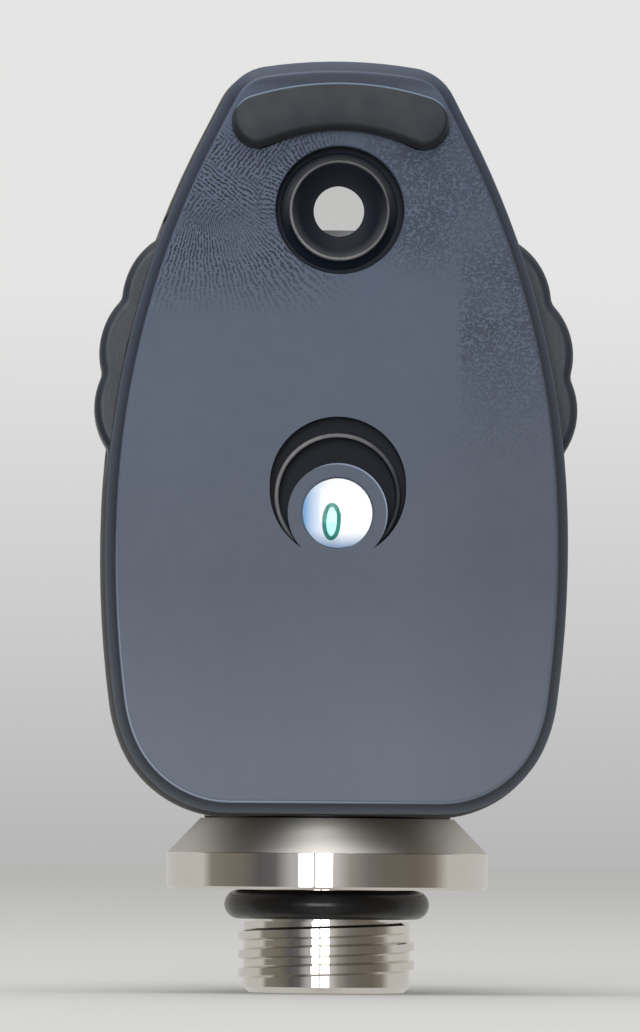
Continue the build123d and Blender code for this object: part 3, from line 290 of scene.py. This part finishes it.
def shell_wear(g, zones):
    """Tone over the shell: a little random, lighter towards the foot and the left, with painted highlights
    along the panel's edge line and the parting line, and painted shade along the rim, down the flanks and
    on the crown strip.
    """
    across, height = g.axis("X"), g.axis("Z")
    cloud = g.range(g.noise(70, 2.0), 0.3, 0.7, 0.955, 1.045)
    # Lighter towards the foot, and a little darker towards the right.
    lighter_low_left = g.range(height, 8 * MM, 18 * MM, 1.26, 1.0)
    lighter_low_left = g.times(lighter_low_left, g.range(across, 4 * MM, 9 * MM, 1.0, 0.90))
    # Painted shade along the rim, deeper where the rim faces sideways or down than where it faces up.
    rim_painted_shade = g.times(zones.rim, g.range(g.facing_up(), 0.2, 0.6, 0.70, 0.52))
    # Painted highlight along the panel's edge line, strongest low down and on the left.
    edge_painted_highlight = g.times(zones.edge, g.range(height, 9 * MM, 22 * MM, 2.6, 0.7))
    edge_painted_highlight = g.times(edge_painted_highlight, g.range(across, -4 * MM, 9 * MM, 1.0, 0.3))
    tone = g.times(cloud, lighter_low_left, g.less(1.0, rim_painted_shade), g.math("ADD", edge_painted_highlight, 1.0))
    # Painted shade down the flanks, and a painted highlight along the parting line.
    tone = g.times(tone, g.less(1.0, zones.flank), g.math("MULTIPLY_ADD", zones.parting, 1.6, 1.0))
    # Painted shade on the panel strip at the crown.
    return g.times(tone, g.less(1.0, g.times(zones.crown, zones.face, 0.42)))


def island_wear(g, zones):
    """Painted highlight: a light line on the upper right of the rim of the island round the readout."""
    line = g.band(g.less(g.radius(READOUT), ISLAND), -0.07 * MM, 0.0, 0.03 * MM)
    corner = g.math("ADD", g.axis("X"), g.less(g.axis("Z"), READOUT.z))
    upper_right = g.range(corner, 1.0 * MM, 3.4 * MM)
    return g.math("MULTIPLY_ADD", g.times(line, upper_right, zones.face), 2.0, 1.0)


def grained_shell():
    """Grey moulded plastic: leathery upper left, sandy upper right, smooth below, with painted shade along
    the rim and in the grain.
    """
    g = material_graph("shell_grain")
    zones = shell_zones(g)
    rows, rows_area = leather(g), g.times(leather_area(g), zones.face)
    sand = g.range(g.noise(6400, 1.2, 0.55), 0.42, 0.58)
    sandy = g.math("MAXIMUM", g.times(sand_area(g), zones.face), g.times(zones.side, SIDE_GRAIN))
    sandy = g.times(sandy, g.range(g.noise(300, 2.0), 0.3, 0.6, 0.5, 1.0))
    fine = g.range(g.noise(4200, 2.0, 0.6), 0.3, 0.7)
    grain = g.math("ADD", g.times(rows, rows_area), g.times(sand, sandy, 0.8))
    grain = g.math("ADD", grain, g.times(fine, 0.08))

    # Painted shade in the grain's hollows and pits, and a painted lift over the grained areas, so that the
    # tops of the grain read lighter.
    valley_painted_shade = g.times(g.less(1.0, rows), rows_area, 0.84)
    pit_painted_shade = g.times(g.less(1.0, sand), sandy, 0.50)
    grain_painted_lift = g.math("MULTIPLY_ADD", g.math("MAXIMUM", sandy, rows_area), 0.16, 1.0)
    tone = g.times(shell_wear(g, zones), g.less(g.less(1.0, valley_painted_shade), pit_painted_shade), grain_painted_lift, island_wear(g, zones))
    worn = g.range(g.noise(900, 3.0), 0.3, 0.7, -0.03, 0.05)
    rough = g.math("ADD", g.math("MULTIPLY_ADD", zones.rim, -0.16, 0.54), g.times(zones.flank, 0.6))
    return g.surface(
        base_color=g.shade(shell_colour(g, zones), tone),
        roughness=g.math("ADD", worn, rough),
        normal=g.bump(grain, 0.045 * MM),
        specular_ior_level=0.4,
    )


def satin_plastic(name, colour, rough, grain=0.012 * MM):
    """Moulded plastic with a light grain and polished patches."""
    g = material_graph(name)
    worn = g.noise(260, 3.0, 0.6)
    return g.surface(
        base_color=g.shade(colour, g.range(worn, 0.3, 0.7, 0.88, 1.12)),
        roughness=g.range(worn, 0.3, 0.7, rough - 0.06, rough + 0.06),
        normal=g.bump(g.noise(3000, 3.0, 0.6), grain),
        specular_ior_level=0.5,
    )


def sight_cup_wear(g, proud):
    """A painted highlight on the sight cup's lip, with a soft painted glow outside it above and inside it
    below.
    """
    past_lip = g.less(g.radius(SIGHT), CUP_LIP)
    above_sight = g.less(g.axis("Z"), SIGHT.z)
    upper = g.range(above_sight, -1.2 * MM, 1.2 * MM)
    corner = g.math("ADD", g.times(g.axis("X"), 0.6), g.times(above_sight, 0.8))
    lip = g.times(g.band(past_lip, -0.06 * MM, 0.08 * MM, 0.05 * MM), proud)
    lip = g.times(lip, g.range(corner, -2.6 * MM, 2.6 * MM, 1.0, 0.4))
    outside = g.times(g.range(past_lip, 0.02 * MM, 0.56 * MM, 0.75, 0.0), upper)
    outside = g.times(outside, g.range(past_lip, -0.04 * MM, 0.02 * MM))
    inside = g.times(g.range(past_lip, -0.54 * MM, 0.0, 0.0, 0.4), g.less(1.0, upper))
    inside = g.times(inside, g.range(past_lip, 0.0, 0.06 * MM, 1.0, 0.0))
    return g.math("MAXIMUM", lip, g.math("MAXIMUM", outside, inside))


def readout_cup_wear(g, behind_panel):
    """A painted highlight on the readout cup's raised arch, brighter towards its upper left."""
    ridge = g.band(g.less(g.radius(ARCH), ARCH_RADIUS), -0.09 * MM, 0.09 * MM, 0.05 * MM)
    ridge = g.times(ridge, g.range(behind_panel, 0.62 * MM, 0.8 * MM, 1.0, 0.0))
    slant = g.less(g.less(g.axis("Z"), ARCH.z), g.axis("X"))
    return g.times(ridge, g.range(slant, -2.5 * MM, 5.0 * MM, 0.12, 1.0))


def black_insert():
    """Matt black plastic with painted highlights on its raised lips, where it is also smoother, and painted
    light in the sight cup's groove.
    """
    g = material_graph("black_plastic")
    behind_panel = g.less(g.axis("Y"), PANEL_Y)
    past_lip = g.less(g.radius(SIGHT), CUP_LIP)
    lip = sight_cup_wear(g, g.range(behind_panel, 0.5 * MM, 0.9 * MM, 1.0, 0.0))
    ridge = readout_cup_wear(g, behind_panel)
    # Painted light: a lighter black in the sight cup's groove, lifting the shade there.
    groove = g.range(past_lip, 0.14 * MM, 0.26 * MM)
    groove = g.times(groove, g.range(past_lip, 0.56 * MM, 0.76 * MM, 1.0, 0.0))
    black = g.mix(groove, (0.0085, 0.0115, 0.0200), (0.017, 0.024, 0.040))
    # Painted highlight on the lips and the arch, where the roughness is lower too.
    lips_painted_highlight = g.times(g.math("MAXIMUM", lip, ridge), g.range(g.noise(800, 2.0), 0.3, 0.6, 0.75, 1.0))
    return g.surface(
        base_color=g.mix(lips_painted_highlight, black, (0.24, 0.24, 0.24)),
        roughness=g.range(lips_painted_highlight, 0.0, 1.0, 0.52, 0.28),
        normal=g.bump(g.noise(2600, 3.0, 0.6), 0.004 * MM),
        specular_ior_level=0.2,
    )


def pad_rubber():
    """The brow pad's rubber, with a painted highlight along its upper edge and painted shade where it turns
    under.
    """
    g = material_graph("soft_rubber")
    up = g.facing_up()
    bloom = g.range(g.noise(420, 4.0, 0.6), 0.45, 0.75, 0.0, 0.02)
    base = g.mix(bloom, (0.013, 0.019, 0.027), (0.20, 0.21, 0.22))
    # Painted shade on faces turned down, and a painted highlight on faces turned up along the top edge.
    under, edge = g.range(up, -0.35, -0.12, 0.45, 1.0), g.band(up, 0.40, 0.85, 0.15)
    return g.surface(
        base_color=g.shade(base, g.math("MULTIPLY_ADD", edge, 8.0, under)),
        roughness=g.range(g.noise(700, 2.0), 0.3, 0.7, 0.45, 0.57),
        normal=g.bump(g.noise(1800, 2.0), 0.006 * MM),
        sheen_weight=0.05,
    )


def seal_rubber():
    """Greased black rubber, with a trace of dust and of mould texture."""
    g = material_graph("seal_rubber")
    dust = g.range(g.noise(420, 4.0, 0.6), 0.45, 0.75, 0.0, 0.02)
    return g.surface(
        base_color=g.mix(dust, (0.007, 0.007, 0.008), (0.20, 0.21, 0.22)),
        roughness=g.range(g.noise(700, 2.0), 0.3, 0.7, 0.21, 0.33),
        normal=g.bump(g.noise(2600, 2.0, 0.5), 0.006 * MM),
        sheen_weight=0.05,
    )


def turned_metal(name, colour, rough, marks=0.0006 * MM):
    """Metal turned on a lathe: rings along Z, with faint stains."""
    g = material_graph(name)
    stain = g.range(g.noise(230, 4.0, 0.6), 0.35, 0.75)
    return g.surface(
        base_color=g.mix(stain, colour, tuple(0.88 * c for c in colour)),
        metallic=1.0,
        roughness=g.range(g.noise(500, 3.0), 0.3, 0.7, rough - 0.03, rough + 0.05),
        normal=g.bump(g.lathe(), marks),
    )


def collar_metal():
    """Polished band and thread, a satin cone above the band, and a near-black top under the chin, painted
    shade for the gap there.
    """
    g = material_graph("collar_metal")
    height = g.axis("Z")
    cone = g.range(height, FLANGE_TOP, FLANGE_TOP + 0.05 * MM)
    # Near black above the cone's top: painted shade in the gap under the chin.
    neck_painted_shade = g.range(height, CONE_TOP, CONE_TOP + 0.03 * MM)
    stain = g.range(g.noise(230, 4.0, 0.6), 0.35, 0.75)
    steel = g.mix(stain, (0.80, 0.775, 0.735), (0.74, 0.715, 0.67))
    polish = g.range(g.noise(500, 3.0), 0.3, 0.7, 0.0, 0.03)
    return g.surface(
        base_color=g.mix(neck_painted_shade, steel, (0.02, 0.02, 0.02)),
        metallic=1.0,
        roughness=g.math("ADD", polish, g.range(cone, 0.0, 1.0, 0.05, 0.56)),
        anisotropic=0.8,
        anisotropic_rotation=0.25,
        tangent=g.node("ShaderNodeTangent", direction_type="RADIAL", axis="Z").outputs[0],
        normal=g.bump(g.lathe(), 0.00008 * MM),
    )


def glass(name, colour):
    """Glass with a trace of dust."""
    g = material_graph(name)
    dust = g.range(g.noise(900, 4.0, 0.7), 0.55, 0.9, 0.0, 0.03)
    return g.surface(base_color=colour, roughness=dust, transmission_weight=1.0, ior=1.5)


def readout_glass():
    """The readout's magnifier, tinted blue towards its left and lower edges: painted shade of its dome."""
    g = material_graph("lit_lens")
    left = g.range(g.less(g.axis("X"), READOUT.x), -1.9 * MM, 0.0, 1.0, 0.0)
    below = g.range(g.less(g.axis("Z"), READOUT.z), -1.95 * MM, -0.9 * MM, 1.0, 0.0)
    # Painted shade: blue tint growing towards the left edge, and towards the lower edge below.
    left_painted_shade = g.mix(g.times(left, left), (1.0, 1.0, 1.0), (0.16, 0.36, 0.66))
    dust = g.range(g.noise(900, 4.0, 0.7), 0.55, 0.9, 0.0, 0.02)
    return g.surface(
        base_color=g.mix(below, left_painted_shade, (0.15, 0.26, 0.42)),
        roughness=dust,
        transmission_weight=1.0,
        ior=1.35,
    )


def dial_film():
    """Milky film that glows by itself: painted light, in place of the light that reaches it through the
    readout's lens.
    """
    g = material_graph("dial_film")
    glow = g.mix(g.range(g.noise(700, 3.0), 0.3, 0.7), (0.93, 0.96, 1.0), (0.98, 0.99, 1.0))
    return g.surface(base_color=(0.2, 0.2, 0.2), roughness=0.5, emission_color=glow, emission_strength=0.97)


def dial_ink(name, colour, glow):
    """Ink on the film, a little uneven, that glows by itself like the film: painted light."""
    g = material_graph(name)
    painted_ink_glow = g.shade(colour, g.range(g.noise(3000, 2.0), 0.3, 0.7, 0.85, 1.15))
    dry = tuple(0.3 * c for c in colour)
    return g.surface(base_color=dry, roughness=0.5, emission_color=painted_ink_glow, emission_strength=glow)


def silvered():
    """Front-silvered mirror with a little haze."""
    g = material_graph("mirror_glass")
    haze = g.range(g.noise(1200, 4.0, 0.7), 0.5, 0.9, 0.01, 0.06)
    return g.surface(base_color=(0.88, 0.9, 0.9), metallic=1.0, roughness=haze)


def glowing_wire():
    g = material_graph("filament")
    heat = g.shade((1.0, 0.72, 0.42), g.range(g.noise(4000, 1.0), 0.3, 0.7, 0.6, 1.0))
    g.surface(base_color=(0.5, 0.45, 0.4), metallic=1.0, roughness=0.5)
    return g.surface(emission_color=heat, emission_strength=6.0)


FINISHES = {
    "shell_plastic": grained_shell(),
    "wheel_plastic": satin_plastic("wheel_plastic", (0.023, 0.030, 0.043), 0.42),
    "black_plastic": black_insert(),
    "soft_rubber": pad_rubber(),
    "seal_rubber": seal_rubber(),
    "collar_metal": collar_metal(),
    "screw_steel": turned_metal("screw_steel", (0.55, 0.55, 0.56), 0.25),
    "spring_steel": turned_metal("spring_steel", (0.5, 0.5, 0.52), 0.3),
    "chassis_metal": turned_metal("chassis_metal", (0.33, 0.33, 0.35), 0.5, 0.004 * MM),
    "black_metal": satin_plastic("black_metal", (0.018, 0.018, 0.02), 0.35, 0.004 * MM),
    "lamp_brass": turned_metal("lamp_brass", (0.72, 0.66, 0.52), 0.22),
    "contact_gold": turned_metal("contact_gold", (0.85, 0.62, 0.30), 0.18),
    "clear_glass": glass("clear_glass", (0.96, 0.98, 0.99)),
    "green_glass": glass("green_glass", (0.2, 0.75, 0.4)),
    "mirror_glass": silvered(),
    "lit_lens": readout_glass(),
    "dial_film": dial_film(),
    "filament": glowing_wire(),
}

for row in frame["record"]["subparts"]:
    for holder in frame["nodes"][row["node"]].material_slots:
        holder.material = FINISHES[row["material_slot"]]


# ---------------------------------------------------------------- pieces in mesh code


def piece_from(name, build, material, body=None, smooth=True):
    """Makes the piece from its bmesh and attaches it to its body; a piece with no body is left unattached.
    """
    bmesh.ops.recalc_face_normals(build, faces=build.faces)
    mesh = bpy.data.meshes.new(name)
    build.to_mesh(mesh)
    build.free()
    mesh.materials.append(material)
    for polygon in mesh.polygons:
        polygon.use_smooth = smooth
    piece = bpy.data.objects.new(name, mesh)
    scene.collection.objects.link(piece)
    if body is not None:
        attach(piece, body)
    return piece


def circle(count):
    """Angles spread evenly over one turn."""
    return [2 * math.pi * k / count for k in range(count)]


def turned_rings(build, profile, count):
    """A closed ring of vertices about the Z axis for each (radius, height) of the profile."""
    rings = []
    for r, z in profile:
        rings.append([build.verts.new((r * math.cos(t), r * math.sin(t), z)) for t in circle(count)])
    return rings


def skin(build, rings):
    """Quads between each closed ring of vertices and the next."""
    for lower, upper in zip(rings, rings[1:]):
        for k in range(len(lower)):
            j = (k + 1) % len(lower)
            build.faces.new((lower[k], lower[j], upper[j], upper[k]))


LOBE = 1.55 * MM  # radius of the brow pad's round ends
NOTCH = 9.6 * MM  # radius of the shallow notch under its middle
NOTCH_RISE = 1.07 * MM  # the notch's top above the pad's lowest point
NOTCH_BLEND = 0.35 * MM
PAD_EDGES = (0.16 * MM, 0.5 * MM)  # edge radius along the top and along the bottom
PAD_CROWN = 0.06 * MM


def pad_rays():
    """Points on the pad's spine with directions: out over the top, back below, and round both ends."""
    low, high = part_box("brow_pad")
    half, rise = high.x - LOBE, high.z - low.z - 2 * LOBE
    arch = (half**2 + rise**2) / (2 * rise)
    centre = Vector((0, low.z + LOBE + rise - arch))
    sweep = math.asin(half / arch)
    along, around = 48, 18
    rays = []
    for side in (1, -1):
        for k in range(along):
            a = side * sweep * (2 * k / (along - 1) - 1)
            out = Vector((math.sin(a), math.cos(a)))
            rays.append((centre + out * arch, out * side))
        end = rays[-1][0]
        for k in range(1, around):
            a = (sweep if side > 0 else math.pi - sweep) + math.pi * k / around
            rays.append((end, Vector((math.sin(a), math.cos(a)))))
    return rays, low.z + NOTCH_RISE - NOTCH


def notch_reach(spot, out, notch_z):
    """How far the pad reaches from its spine along this ray, up to its lobe radius or the notch."""

    def outside(reach):
        point = spot + out * reach
        past_lobe = reach - LOBE
        in_notch = NOTCH - math.hypot(point.x, point.y - notch_z)
        blend = max(0.0, 1 - abs(past_lobe - in_notch) / NOTCH_BLEND)
        return max(past_lobe, in_notch) + NOTCH_BLEND * blend**2 / 4

    near, far = 0.0, LOBE
    for _ in range(30):
        half_way = (near + far) / 2
        near, far = (half_way, far) if outside(half_way) < 0 else (near, half_way)
    return near


def brow_pad():
    """A crowned rubber pad with a tight edge above and a fuller one below."""
    low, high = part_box("brow_pad")
    rays, notch_z = pad_rays()
    build = bmesh.new()
    steps, inner = 7, 6
    columns = []
    for spot, out in rays:
        reach = notch_reach(spot, out, notch_z)
        down = min(1.0, max(0.0, 0.5 - out.y))
        edge = PAD_EDGES[0] + (PAD_EDGES[1] - PAD_EDGES[0]) * down
        profile = [(0.0, high.y), (0.0, low.y + PAD_CROWN + edge)]
        for k in range(1, steps + 1):
            a = math.radians(90 * k / steps)
            profile.append((edge * (1 - math.cos(a)), low.y + PAD_CROWN + edge * (1 - math.sin(a))))
        for k in range(1, inner + 1):
            inset = edge + (reach - edge) * k / inner
            profile.append((inset, low.y + PAD_CROWN * (1 - k / inner) ** 2))
        points = [(spot + out * (reach - inset), y) for inset, y in profile]
        columns.append([build.verts.new((p.x, y, p.y)) for p, y in points])
    rings = list(zip(*columns))
    skin(build, rings)
    build.faces.new(rings[0])
    bmesh.ops.remove_doubles(build, verts=build.verts, dist=1e-6)
    pad = piece_from("brow_pad_rubber", build, FINISHES["soft_rubber"], "head")
    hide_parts("brow_pad")


FLASH = 0.012 * MM  # how far the sealing ring's flash line stands out
SHRINK = 0.004 * MM  # how far the rest of its section stays inside the CAD ring


def sealing_ring():
    """A rubber ring with the faint flash line that its mould leaves."""
    low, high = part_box("o_ring")
    section = (high.z - low.z) / 2
    ring, middle_z = high.x - section, (low.z + high.z) / 2
    profile = []
    for k, a in enumerate(circle(36)):
        wide = section + (FLASH if k == 0 else -SHRINK)
        profile.append((ring + wide * math.cos(a), middle_z + section * math.sin(a)))
    build = bmesh.new()
    rings = turned_rings(build, profile, 128)
    skin(build, [*rings, rings[0]])
    seal = piece_from("sealing_ring", build, FINISHES["seal_rubber"], "head")
    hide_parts("o_ring")


COIL_WIRE = 0.12 * MM  # radius of the contact spring's wire
COIL_TURNS = 4


def contact_coil():
    """The contact spring, which shortens when the plunger is pressed in, as a coil at the CAD spring's
    length.
    """
    low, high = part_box("contact_spring")
    coil = high.x - COIL_WIRE
    bottom, top = low.z + COIL_WIRE, high.z - COIL_WIRE
    steps = 48 * COIL_TURNS
    build = bmesh.new()
    rings = []
    for k in range(steps + 1):
        turn = 2 * math.pi * COIL_TURNS * k / steps
        out = Vector((math.cos(turn), math.sin(turn), 0))
        spot = out * coil + Vector((0, 0, bottom + (top - bottom) * k / steps))
        section = [out * math.cos(a) + Vector((0, 0, math.sin(a))) for a in circle(10)]
        rings.append([build.verts.new(spot + aside * COIL_WIRE) for aside in section])
    skin(build, rings)
    build.faces.new(rings[0])
    build.faces.new(rings[-1][::-1])
    spring = piece_from("contact_coil", build, FINISHES["spring_steel"])
    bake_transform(spring)
    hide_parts("contact_spring")


# Sizes of the dark ring that stands in for the shadow under the chin.
SHADOW_RING_BORE = 5.7 * MM
SHADOW_RING_RADIUS = 7.3 * MM
SHADOW_RING_EDGE = (0.1 * MM, 0.05 * MM)  # its lower edge's chamfer, across and up
SHADOW_RING_SPAN = (CONE_TOP + 0.005 * MM, CONE_TOP + 0.23 * MM)


def neck_gasket():
    """A dark ring that closes the wedge between the cone's top and the chin's curve: painted shade standing
    in for the shadow there.
    """
    low, high = SHADOW_RING_SPAN
    profile = (
        (SHADOW_RING_BORE, low),
        (SHADOW_RING_RADIUS - SHADOW_RING_EDGE[0], low),
        (SHADOW_RING_RADIUS, low + SHADOW_RING_EDGE[1]),
        (SHADOW_RING_RADIUS, high),
        (SHADOW_RING_BORE, high),
    )
    build = bmesh.new()
    rings = turned_rings(build, profile, 96)
    skin(build, [*rings, rings[0]])
    piece_from("neck_gasket", build, FINISHES["seal_rubber"], "head")


def bow(x, y, wide, high, start, end):
    """Points along an ellipse's arc, in a digit's box that is 1 wide and 2 high."""
    turns = [math.radians(start + (end - start) * k / 28) for k in range(29)]
    return [(x + wide * math.cos(t), y + high * math.sin(t)) for t in turns]


DIGITS = {
    "0": (bow(0.5, 1.0, 0.45, 0.95, 0, 360),),
    "1": ([(0.36, 1.7), (0.58, 1.93), (0.58, 0.06)],),
    "2": (bow(0.5, 1.42, 0.4, 0.5, 165, -25) + [(0.1, 0.07), (0.92, 0.07)],),
    "3": (bow(0.5, 1.47, 0.37, 0.45, 150, -85), bow(0.5, 0.55, 0.42, 0.48, 88, -150)),
    "4": ([(0.7, 0.06), (0.7, 1.93), (0.06, 0.6), (0.95, 0.6)],),
    "5": ([(0.85, 1.92), (0.2, 1.92), (0.14, 1.1)] + bow(0.47, 0.65, 0.42, 0.58, 125, -150),),
    "6": (bow(0.5, 0.58, 0.40, 0.55, 0, 360), bow(0.92, 0.62, 0.82, 1.32, 102, 180)),
    "8": (bow(0.5, 1.47, 0.36, 0.44, 0, 360), bow(0.5, 0.54, 0.42, 0.48, 0, 360)),
}
POWERS = (1, 2, 3, 4, 6, 8, 10, 15, 20)
DIGIT_HEIGHT = 1.80 * MM
DIGIT_WIDTH = 0.46 * DIGIT_HEIGHT
STROKE = 0.21 * MM
INK = 0.01 * MM
DIAL_RADIUS = 7.36 * MM
DIAL_OFFSET = 1.8  # degrees that the numbers stand away from their stations
DIAL_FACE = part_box("number_dial")[0].y
PITCH = 360 / (2 * len(POWERS) + 1)
BLEED = Vector((0.40 * DIGIT_WIDTH, 0.42 * DIGIT_HEIGHT))  # half sizes of the pale film inside the zero


def stroke(build, points, place):
    """A thin raised ribbon along the points."""
    closed = math.dist(points[0], points[-1]) < 1e-6
    spots = [Vector(p) for p in (points[:-1] if closed else points)]
    rows = []
    for k, spot in enumerate(spots):
        before = spots[k - 1] if k or closed else spot
        after = spots[(k + 1) % len(spots)] if k + 1 < len(spots) or closed else spot
        run = (after - before).normalized()
        side = Vector((-run.y, run.x)) * STROKE / 2
        section = ((spot - side, 0), (spot - side, 1), (spot + side, 1), (spot + side, 0))
        rows.append([build.verts.new(place(p, raised)) for p, raised in section])
    skin(build, [*rows, rows[0]] if closed else rows)
    if not closed:
        build.faces.new(rows[0])
        build.faces.new(rows[-1][::-1])


def number(build, text, station):
    """Draws a number on the dial at its station; station 0 is behind the readout window."""
    turn = Matrix.Rotation(math.radians(station * PITCH - DIAL_OFFSET), 2)
    narrow = 1.0 if len(text) == 1 else 0.8
    pitch = DIGIT_WIDTH * narrow * 1.2
    for index, digit in enumerate(text):
        shift = (index - (len(text) - 1) / 2) * pitch

        def place(p, raised):
            spot = turn @ Vector((p.x + shift, p.y - DIAL_RADIUS))
            return (WHEEL.x + spot.x, DIAL_FACE - INK * raised, WHEEL.z + spot.y)

        for points in DIGITS[digit]:
            sized = [((x - 0.5) * DIGIT_WIDTH * narrow, (y / 2 - 0.5) * DIGIT_HEIGHT) for x, y in points]
            stroke(build, sized, place)


def zero_bleed(build):
    """The film just inside the zero, where the ink has bled."""
    turn = Matrix.Rotation(math.radians(-DIAL_OFFSET), 2)
    rim = [turn @ Vector((BLEED.x * math.cos(t), BLEED.y * math.sin(t) - DIAL_RADIUS)) for t in circle(40)]
    build.faces.new([build.verts.new((WHEEL.x + p.x, DIAL_FACE - INK / 2, WHEEL.z + p.y)) for p in rim])


def dial_numbers():
    """Green plus powers, red minus powers, and a teal zero with its pale inside."""
    zero, plus, minus = bmesh.new(), bmesh.new(), bmesh.new()
    number(zero, "0", 0)
    for k, power in enumerate(POWERS):
        number(plus, str(power), k + 1)
        number(minus, str(power), -k - 1)
    bleed = bmesh.new()
    zero_bleed(bleed)
    pale = dial_ink("pale_ink", (0.55, 1.0, 0.93), 0.95)
    piece_from("dial_zero_glow", bleed, pale, "lens_wheel", smooth=False)
    teal = dial_ink("teal_ink", (0.0, 0.22, 0.17), 0.9)
    green = dial_ink("green_ink", (0.02, 0.30, 0.12), 0.9)
    red = dial_ink("red_ink", (0.55, 0.03, 0.03), 0.9)
    for name, build, ink in (("zero", zero, teal), ("plus", plus, green), ("minus", minus, red)):
        piece_from(f"dial_numbers_{name}", build, ink, "lens_wheel", smooth=False)


brow_pad()
sealing_ring()
contact_coil()
neck_gasket()
dial_numbers()


# ---------------------------------------------------------------- studio

FLOOR_TONE = 0.475  # linear grey of the far floor and of the backdrop behind it
paper = material_graph("floor_paper")
paper.surface(
    base_color=paper.shade((0.62, 0.62, 0.615), paper.range(paper.noise(9, 3.0), 0.3, 0.7, 0.985, 1.0)),
    roughness=0.9,
    normal=paper.bump(paper.noise(900, 3.0), 0.05 * MM, 0.3),
    specular_ior_level=0.2,
)
FLOOR_RADIUS = 6.0
disc = bmesh.new()
bmesh.ops.create_circle(disc, cap_ends=True, radius=FLOOR_RADIUS, segments=96)
floor_mesh = bpy.data.meshes.new("floor")
disc.to_mesh(floor_mesh)
disc.free()
floor = bpy.data.objects.new("floor", floor_mesh)
floor.location.z = cad_low.z - 0.02 * MM
floor.data.materials.append(paper.owner)
floor.visible_glossy = False  # the polished band mirrors the room instead
scene.collection.objects.link(floor)

# The room's tones by azimuth from the examiner's side, in degrees, right positive: the collar mirrors them.
ROOM = (
    (-180, (0.60, 0.59, 0.57)),
    (-103, (0.60, 0.59, 0.57)),
    (-94, (0.26, 0.24, 0.21)),
    (-65, (0.19, 0.17, 0.145)),
    (-52, (0.11, 0.11, 0.115)),
    (-40, (0.14, 0.14, 0.145)),
    (-28, (0.50, 0.50, 0.51)),
    (4, (0.62, 0.60, 0.59)),
    (14, (0.34, 0.32, 0.30)),
    (28, (0.19, 0.185, 0.175)),
    (40, (0.165, 0.15, 0.13)),
    (65, (0.165, 0.145, 0.12)),
    (80, (0.25, 0.22, 0.19)),
    (95, (0.60, 0.59, 0.57)),
    (180, (0.60, 0.59, 0.57)),
)
CEILING = (1.0, 1.0, 1.0)
world = bpy.data.worlds.new("studio")
scene.world = world
sky = Graph(world, "Generated")
azimuth = sky.math("ARCTAN2", sky.axis("X"), sky.math("MULTIPLY", sky.axis("Y"), -1.0))
ramp = sky.node("ShaderNodeValToRGB", {0: sky.range(azimuth, -math.pi, math.pi)})
stops = ramp.color_ramp.elements
for index, (degrees, tone) in enumerate(ROOM):
    spot = degrees / 360 + 0.5
    ends = {0: stops[0], len(ROOM) - 1: stops[-1]}
    stop = ends[index] if index in ends else stops.new(spot)
    stop.position = spot
    stop.color = (*tone, 1.0)
height = sky.axis("Z")
room = sky.mix(sky.range(height, 0.5, 0.85), ramp.outputs[0], CEILING)
backdrop = sky.mix(sky.range(height, 0.0, 0.07), (FLOOR_TONE,) * 3, (0.78, 0.78, 0.775))
seen = sky.node("ShaderNodeLightPath").outputs["Is Camera Ray"]
sky.put(sky.nodes["Background"].inputs["Color"], sky.mix(seen, room, backdrop))


LIT_POINT = Vector((0, 0, 20 * MM))  # the head's middle, which every lamp faces


def soft_light(name, azimuth, elevation, distance, width, height, radiance):
    """A rectangular lamp; azimuth 0 is the examiner's side and grows to the right."""
    data = bpy.data.lights.new(name, "AREA")
    data.shape, data.size, data.size_y = "RECTANGLE", width, height
    data.energy = radiance * math.pi * width * height
    lamp = bpy.data.objects.new(name, data)
    a, e = math.radians(azimuth), math.radians(elevation)
    out = Vector((math.sin(a) * math.cos(e), -math.cos(a) * math.cos(e), math.sin(e)))
    lamp.location = LIT_POINT + out * distance
    lamp.rotation_mode = "QUATERNION"
    lamp.rotation_quaternion = out.to_track_quat("Z", "Y")
    lamp.visible_camera = False
    scene.collection.objects.link(lamp)


soft_light("strip_left", azimuth=-17.5, elevation=12, distance=1.1, width=0.20, height=0.9, radiance=4.6)
soft_light("strip_near", azimuth=-4.7, elevation=12, distance=1.1, width=0.23, height=0.9, radiance=4.6)
soft_light("overhead", azimuth=-20, elevation=68, distance=1.0, width=0.8, height=0.5, radiance=2.4)

# ---------------------------------------------------------------- camera

CAMERA = Vector((-22.14, -480.0, 2.0)) * MM
AIM = Vector((-0.57, 0.0, 22.1)) * MM
ROLL = 0.43  # degrees, the picture's top leans to the right
LENS = 282.9  # in millimetres, as is the sensor
SENSOR = 36.0
camera_data = bpy.data.cameras.new("camera")
camera_data.lens = LENS
camera_data.sensor_width = SENSOR
camera_data.clip_start, camera_data.clip_end = 0.01, 50.0
camera = bpy.data.objects.new("camera", camera_data)
forward = (AIM - CAMERA).normalized()
right = forward.cross(Vector((0, 0, 1))).normalized()
up = right.cross(forward)
lean = math.radians(ROLL)
leaning_right = right * math.cos(lean) + up * math.sin(lean)
leaning_up = up * math.cos(lean) - right * math.sin(lean)
turn = Matrix((leaning_right, leaning_up, -forward)).transposed().to_4x4()
camera.matrix_world = Matrix.Translation(CAMERA) @ turn
scene.collection.objects.link(camera)
scene.camera = camera
